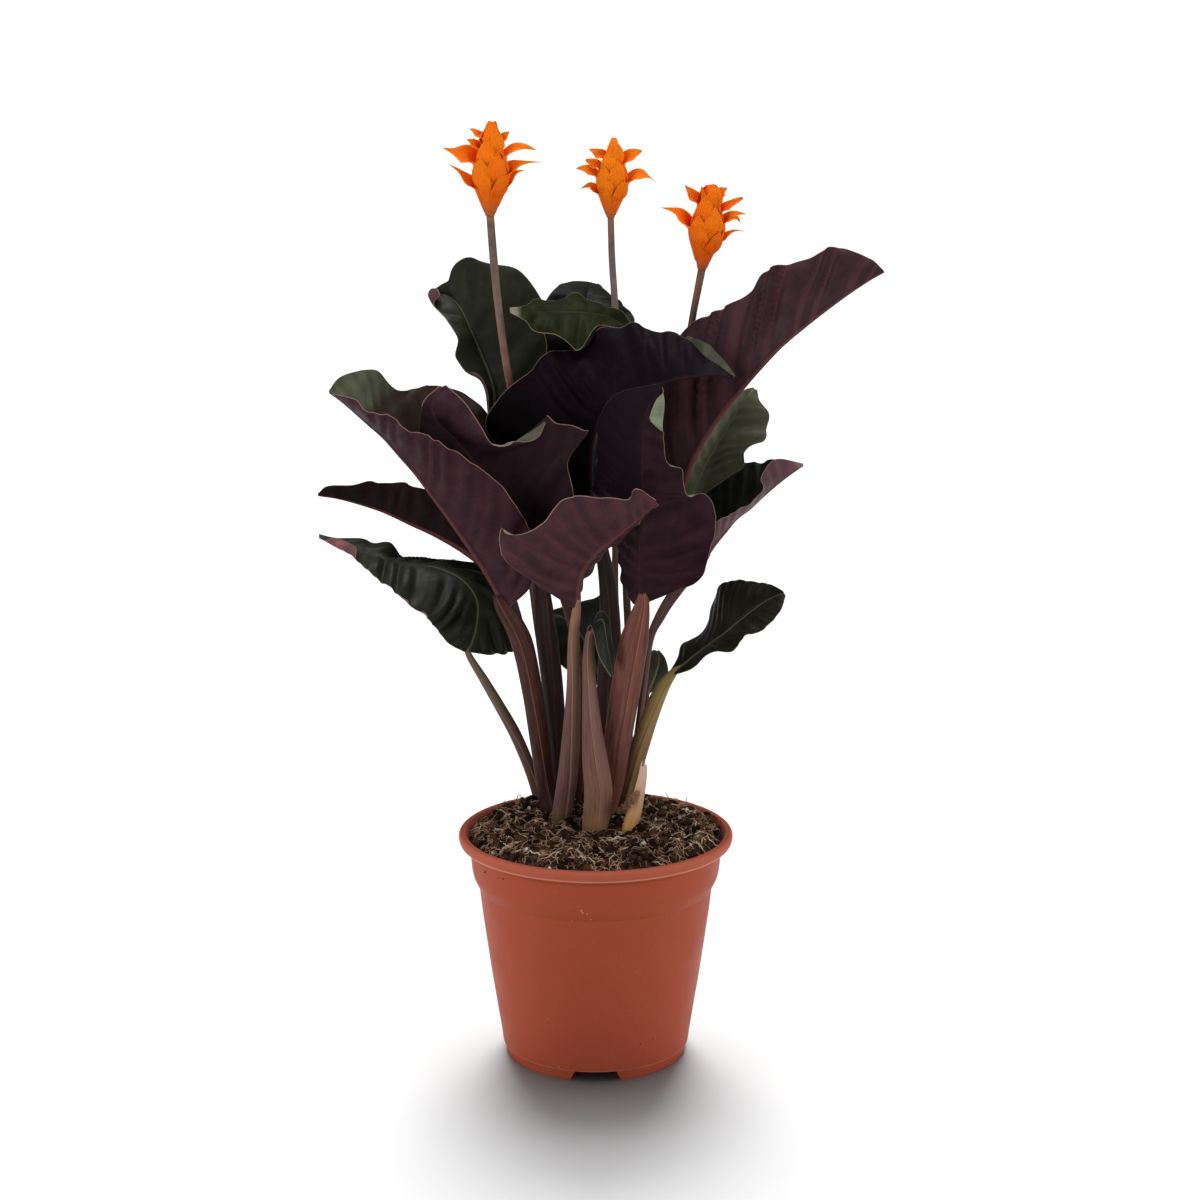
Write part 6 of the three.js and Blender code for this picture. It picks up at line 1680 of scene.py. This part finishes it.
def strand(random, spot, length, width, rear, kind):
    """One wavy fibre lying on the soil, with one end reared up by rear."""
    turn = random.uniform(0, 2 * math.pi)
    sides, rows = kind["sides"], kind["rows"]
    t = np.linspace(-0.5, 0.5, rows)
    bend = random.uniform(-0.5, 0.5) * length
    wiggle = 0.06 * length * np.sin(t * random.uniform(6, 14) + random.uniform(0, 6))
    x = spot[0] + math.cos(turn) * t * length - math.sin(turn) * (bend * t**2 + wiggle)
    y = spot[1] + math.sin(turn) * t * length + math.cos(turn) * (bend * t**2 + wiggle)
    radius = np.hypot(x, y)
    inside = np.minimum(1, (SOIL_EDGE_RADIUS + 0.6) / np.maximum(radius, 1e-6))
    x, y = x * inside, y * inside
    hump = random.uniform(0, 1.2) * (1 - (2 * t) ** 2)
    z = soil_level(x, y) + kind["lift"] + hump + 0.25 * np.sin(t * 11)
    z = z + rear * (t + 0.5) ** 2
    middle = np.stack([x, y, z], -1)
    along = unit(np.gradient(middle, axis=0))
    across = unit(np.cross(along, [0, 0, 1.0]))
    deep = np.cross(along, across)
    angle = np.linspace(0, 2 * math.pi, sides, endpoint=False)[None, :, None]
    thin = width * (1 - 0.7 * (2 * np.abs(t)) ** 3)
    round_it = np.cos(angle) * across[:, None] + np.sin(angle) * deep[:, None]
    points = (middle[:, None] + round_it * thin[:, None, None]).reshape(-1, 3)
    ends = [list(range(sides))[::-1], list(range((rows - 1) * sides, rows * sides))]
    faces = [*grid_faces(rows, sides, closed=True), *ends]
    return points, faces, {"tint": np.full(len(points), random.uniform())}


def strands(random, name):
    """All the fibres or roots of one kind."""
    kind = STRANDS[name]
    shells = []
    for spot in scatter_spots(random, kind["count"], kind["inner"]):
        length = random.uniform(*kind["length"])
        width = random.uniform(*kind["width"])
        rear = random.uniform(*kind["rear"]) if "rear" in kind else 0.0
        shells.append(strand(random, spot, length, width, rear, kind))
    return shells


def tinted_finish(name, dark, light, rough=0.95, specular=0.05):
    """Dull material whose colour runs from dark to light by each grain's own tint."""
    grains = Finish(name, rough, specular)
    color = grains.mix(grains.fact("tint"), linear(dark), linear(light))
    mottle = grains.noise(800.0, 4.0, 0.7)
    color = grains.mix(grains.step(mottle, 0.35, 0.7, 0.0, 0.5), color, linear(dark))
    grains.color(color)
    grains.bump(mottle, 0.0004, 0.8)
    return grains.material


def litter_piece(name, shells, material):
    points, faces, facts = merged(shells)
    make_piece(name, points, faces, [material], facts=facts)


def make_soil_litter():
    """Everything that lies on the soil; the draws follow each other from one seed."""
    random = np.random.default_rng(7)
    spots = scatter_spots(random, CRUMB_COUNT)
    sizes = random.uniform(0.35, 1.0, CRUMB_COUNT) ** 1.5 * 1.5
    small = lumps(random, spots + [0, 0, 0.25], sizes, 1, shade=random.uniform(0, 1, CRUMB_COUNT) ** 2)
    spots = scatter_spots(random, LUMP_COUNT)
    big = lumps(random, spots + [0, 0, 0.5], random.uniform(1.2, 2.8, LUMP_COUNT), 2,
                shade=random.uniform(0, 1, LUMP_COUNT) ** 2 * 0.7)
    litter_piece("soil_crumbs", [small, big], tinted_finish("peat_crumb", "#130c09", "#604231"))
    fibres = [*strands(random, "fibres"), *strands(random, "tufts")]
    litter_piece("coir_fibres", fibres, tinted_finish("coir", "#6e4c38", "#d3b596", 0.9))
    litter_piece("loose_fibres", strands(random, "loose"),
                 tinted_finish("loose_coir", "#3a271b", "#a98259", 0.9))
    litter_piece("pale_roots", strands(random, "roots"),
                 tinted_finish("root_skin", "#a88a70", "#e2d2ba", 0.8))
    spots = scatter_spots(random, PERLITE_COUNT)
    white = lumps(random, spots + [0, 0, 0.6], random.uniform(0.4, 1.2, PERLITE_COUNT), 2, 0.9)
    litter_piece("perlite", [white], tinted_finish("perlite_grain", "#a0968a", "#dcd6cb", 0.8))
    make_moss(random)
    make_scuffs(random)


def make_scuffs(random):
    """Pale scratches and dark specks on the front of the pot, as small grains."""
    for name, marks, tones in (("pot_scuffs", SCUFFS, ("#c0705a", "#d98f78")),
                               ("pot_specks", SPECKS, ("#3a1510", "#5a2219"))):
        radii, heights = np.array(POT_OUTSIDE)[:, :2].T
        across, height, size = np.array(marks, float).T
        radius = np.interp(height, heights, radii)
        spots = np.stack([across, -np.sqrt(radius**2 - across**2), height], -1)
        grains = lumps(random, spots, size, 2, 1.0)
        litter_piece(name, [grains], tinted_finish(name, *tones, 0.7, 0.1))


def make_moss(random):
    """Yellow-green moss on the soil at the front right."""
    spread = random.normal(0, 1, (MOSS_COUNT, 2)) * [5.0, 4.0] + MOSS_SPOT
    spread *= np.minimum(1, (SOIL_EDGE_RADIUS - LITTER_MARGIN) / np.hypot(*spread.T))[:, None]
    spots = np.column_stack([spread, soil_level(*spread.T)])
    tufts = lumps(random, spots + [0, 0, 0.3], random.uniform(0.35, 0.9, MOSS_COUNT), 1, 1.1)
    litter_piece("moss", [tufts], tinted_finish("moss_green", "#453c1c", "#7d7434"))


# ---- Room ----


FLOOR_REACH = 4000.0  # half the side of the floor, mm
FLOOR_TONE = 0.3


def make_floor():
    corners = [[-1, -1, 0], [1, -1, 0], [1, 1, 0], [-1, 1, 0]]
    floor = new_object("floor", np.array(corners) * FLOOR_REACH, [[0, 1, 2, 3]])
    white = Finish("floor_white", 0.7, 0.03)
    white.color((FLOOR_TONE, FLOOR_TONE, FLOOR_TONE, 1.0))
    floor.data.materials.append(white.material)
    return floor


def make_world():
    """White behind the object; the light it gives rises a little from the horizon upwards."""
    world = bpy.data.worlds.new("sweep")
    world.use_nodes = True
    bpy.context.scene.world = world
    tree = world.node_tree
    background = tree.nodes["Background"]
    background.inputs["Color"].default_value = (1.0, 1.0, 1.0, 1.0)
    place = tree.nodes.new("ShaderNodeTexCoord")
    split = tree.nodes.new("ShaderNodeSeparateXYZ")
    ramp = tree.nodes.new("ShaderNodeMapRange")
    ramp.interpolation_type = "SMOOTHSTEP"
    for socket, value in zip(ramp.inputs[1:5], (*SKY_BLEND, HORIZON_LIGHT, SKY_LIGHT)):
        socket.default_value = value
    ray = tree.nodes.new("ShaderNodeLightPath")
    seen = tree.nodes.new("ShaderNodeMix")
    seen.inputs["B"].default_value = BACKDROP_LIGHT
    tree.links.new(place.outputs["Generated"], split.inputs[0])
    tree.links.new(split.outputs["Z"], ramp.inputs[0])
    tree.links.new(ramp.outputs[0], seen.inputs["A"])
    tree.links.new(ray.outputs["Is Camera Ray"], seen.inputs["Factor"])
    tree.links.new(seen.outputs[0], background.inputs["Strength"])


def make_sun(name, azimuth, elevation, spread, strength):
    """Soft light from azimuth (0 right, 90 back, 270 front) and elevation, in degrees."""
    lamp = bpy.data.lights.new(name, "SUN")
    lamp.angle = math.radians(spread)
    lamp.energy = strength
    sun = bpy.data.objects.new(name, lamp)
    sun.rotation_euler = (0, math.radians(90 - elevation), math.radians(azimuth))
    bpy.context.scene.collection.objects.link(sun)
    return sun


def light_group(name, things, state):
    """Collection that a lamp uses to take in or leave out the things."""
    group = bpy.data.collections.new(name)
    for thing in things:
        group.objects.link(thing)
    for member in group.collection_objects:
        member.light_linking.link_state = state
    return group


SKY_BLEND = (0.08, 0.5)  # heights of the sky between which its light changes, 1 overhead
BACKDROP_LIGHT = 1.1
HORIZON_LIGHT = 0.17
SKY_LIGHT = 0.2

# Lamps as [name, azimuth, elevation, spread, strength]. The pot has two lamps of its own for its
# edges, and the floor three that only the pot and its soil shade.
PLANT_LAMPS = [
    ["top_light", 90, 80, 50, 2.9],
    ["left_light", 212, 7, 50, 1.9],
    ["right_light", 328, 7, 50, 1.9],
    ["front_light", 270, 25, 90, 0.3],
]
POT_LAMPS = [
    ["pot_left_light", 176, 6, 40, 1.7],
    ["pot_right_light", 4, 6, 40, 1.3],
]
FLOOR_LAMPS = [
    ["floor_low_light", 90, 36, 40, 7],
    ["floor_high_light", 90, 60, 40, 4.2],
    ["floor_top_light", 90, 80, 50, 2.7],
]


def make_room():
    floor = make_floor()
    make_world()
    everything_else = light_group("all_but_floor", [floor], "EXCLUDE")
    for lamp in PLANT_LAMPS:
        make_sun(*lamp).light_linking.receiver_collection = everything_else
    pot_only = light_group("pot_only", [bpy.data.objects["pot"]], "INCLUDE")
    for lamp in POT_LAMPS:
        make_sun(*lamp).light_linking.receiver_collection = pot_only
    floor_only = light_group("floor_only", [floor], "INCLUDE")
    shades = [bpy.data.objects[name] for name in ("pot", "soil_bed")]
    floor_shades = light_group("floor_shades", shades, "INCLUDE")
    for lamp in FLOOR_LAMPS:
        floor_lamp = make_sun(*lamp)
        floor_lamp.light_linking.receiver_collection = floor_only
        floor_lamp.light_linking.blocker_collection = floor_shades
    bpy.context.scene.view_settings.view_transform = "Standard"
    make_camera()


# ---- Assembly ----

undersides = {}
for place, blade in BLADES.items():
    undersides[place] = blade_piece(place, blade, LEAF_LOOKS[place])
for place, stalk in LEAF_STALKS.items():
    keel = at(BLADES[place]["keel"])
    leaf_stalk_piece(place, stalk, keel[0], keel[1], undersides[place])
for place, stalk in FLOWER_STALKS.items():
    flower_stalk_piece(place, stalk)
orange = bract_finish()
for place, head in FLOWER_HEADS.items():
    flower_pieces(place, head, orange)
make_dry_sheath()
make_pot()
make_soil_bed()
make_soil_litter()
make_room()
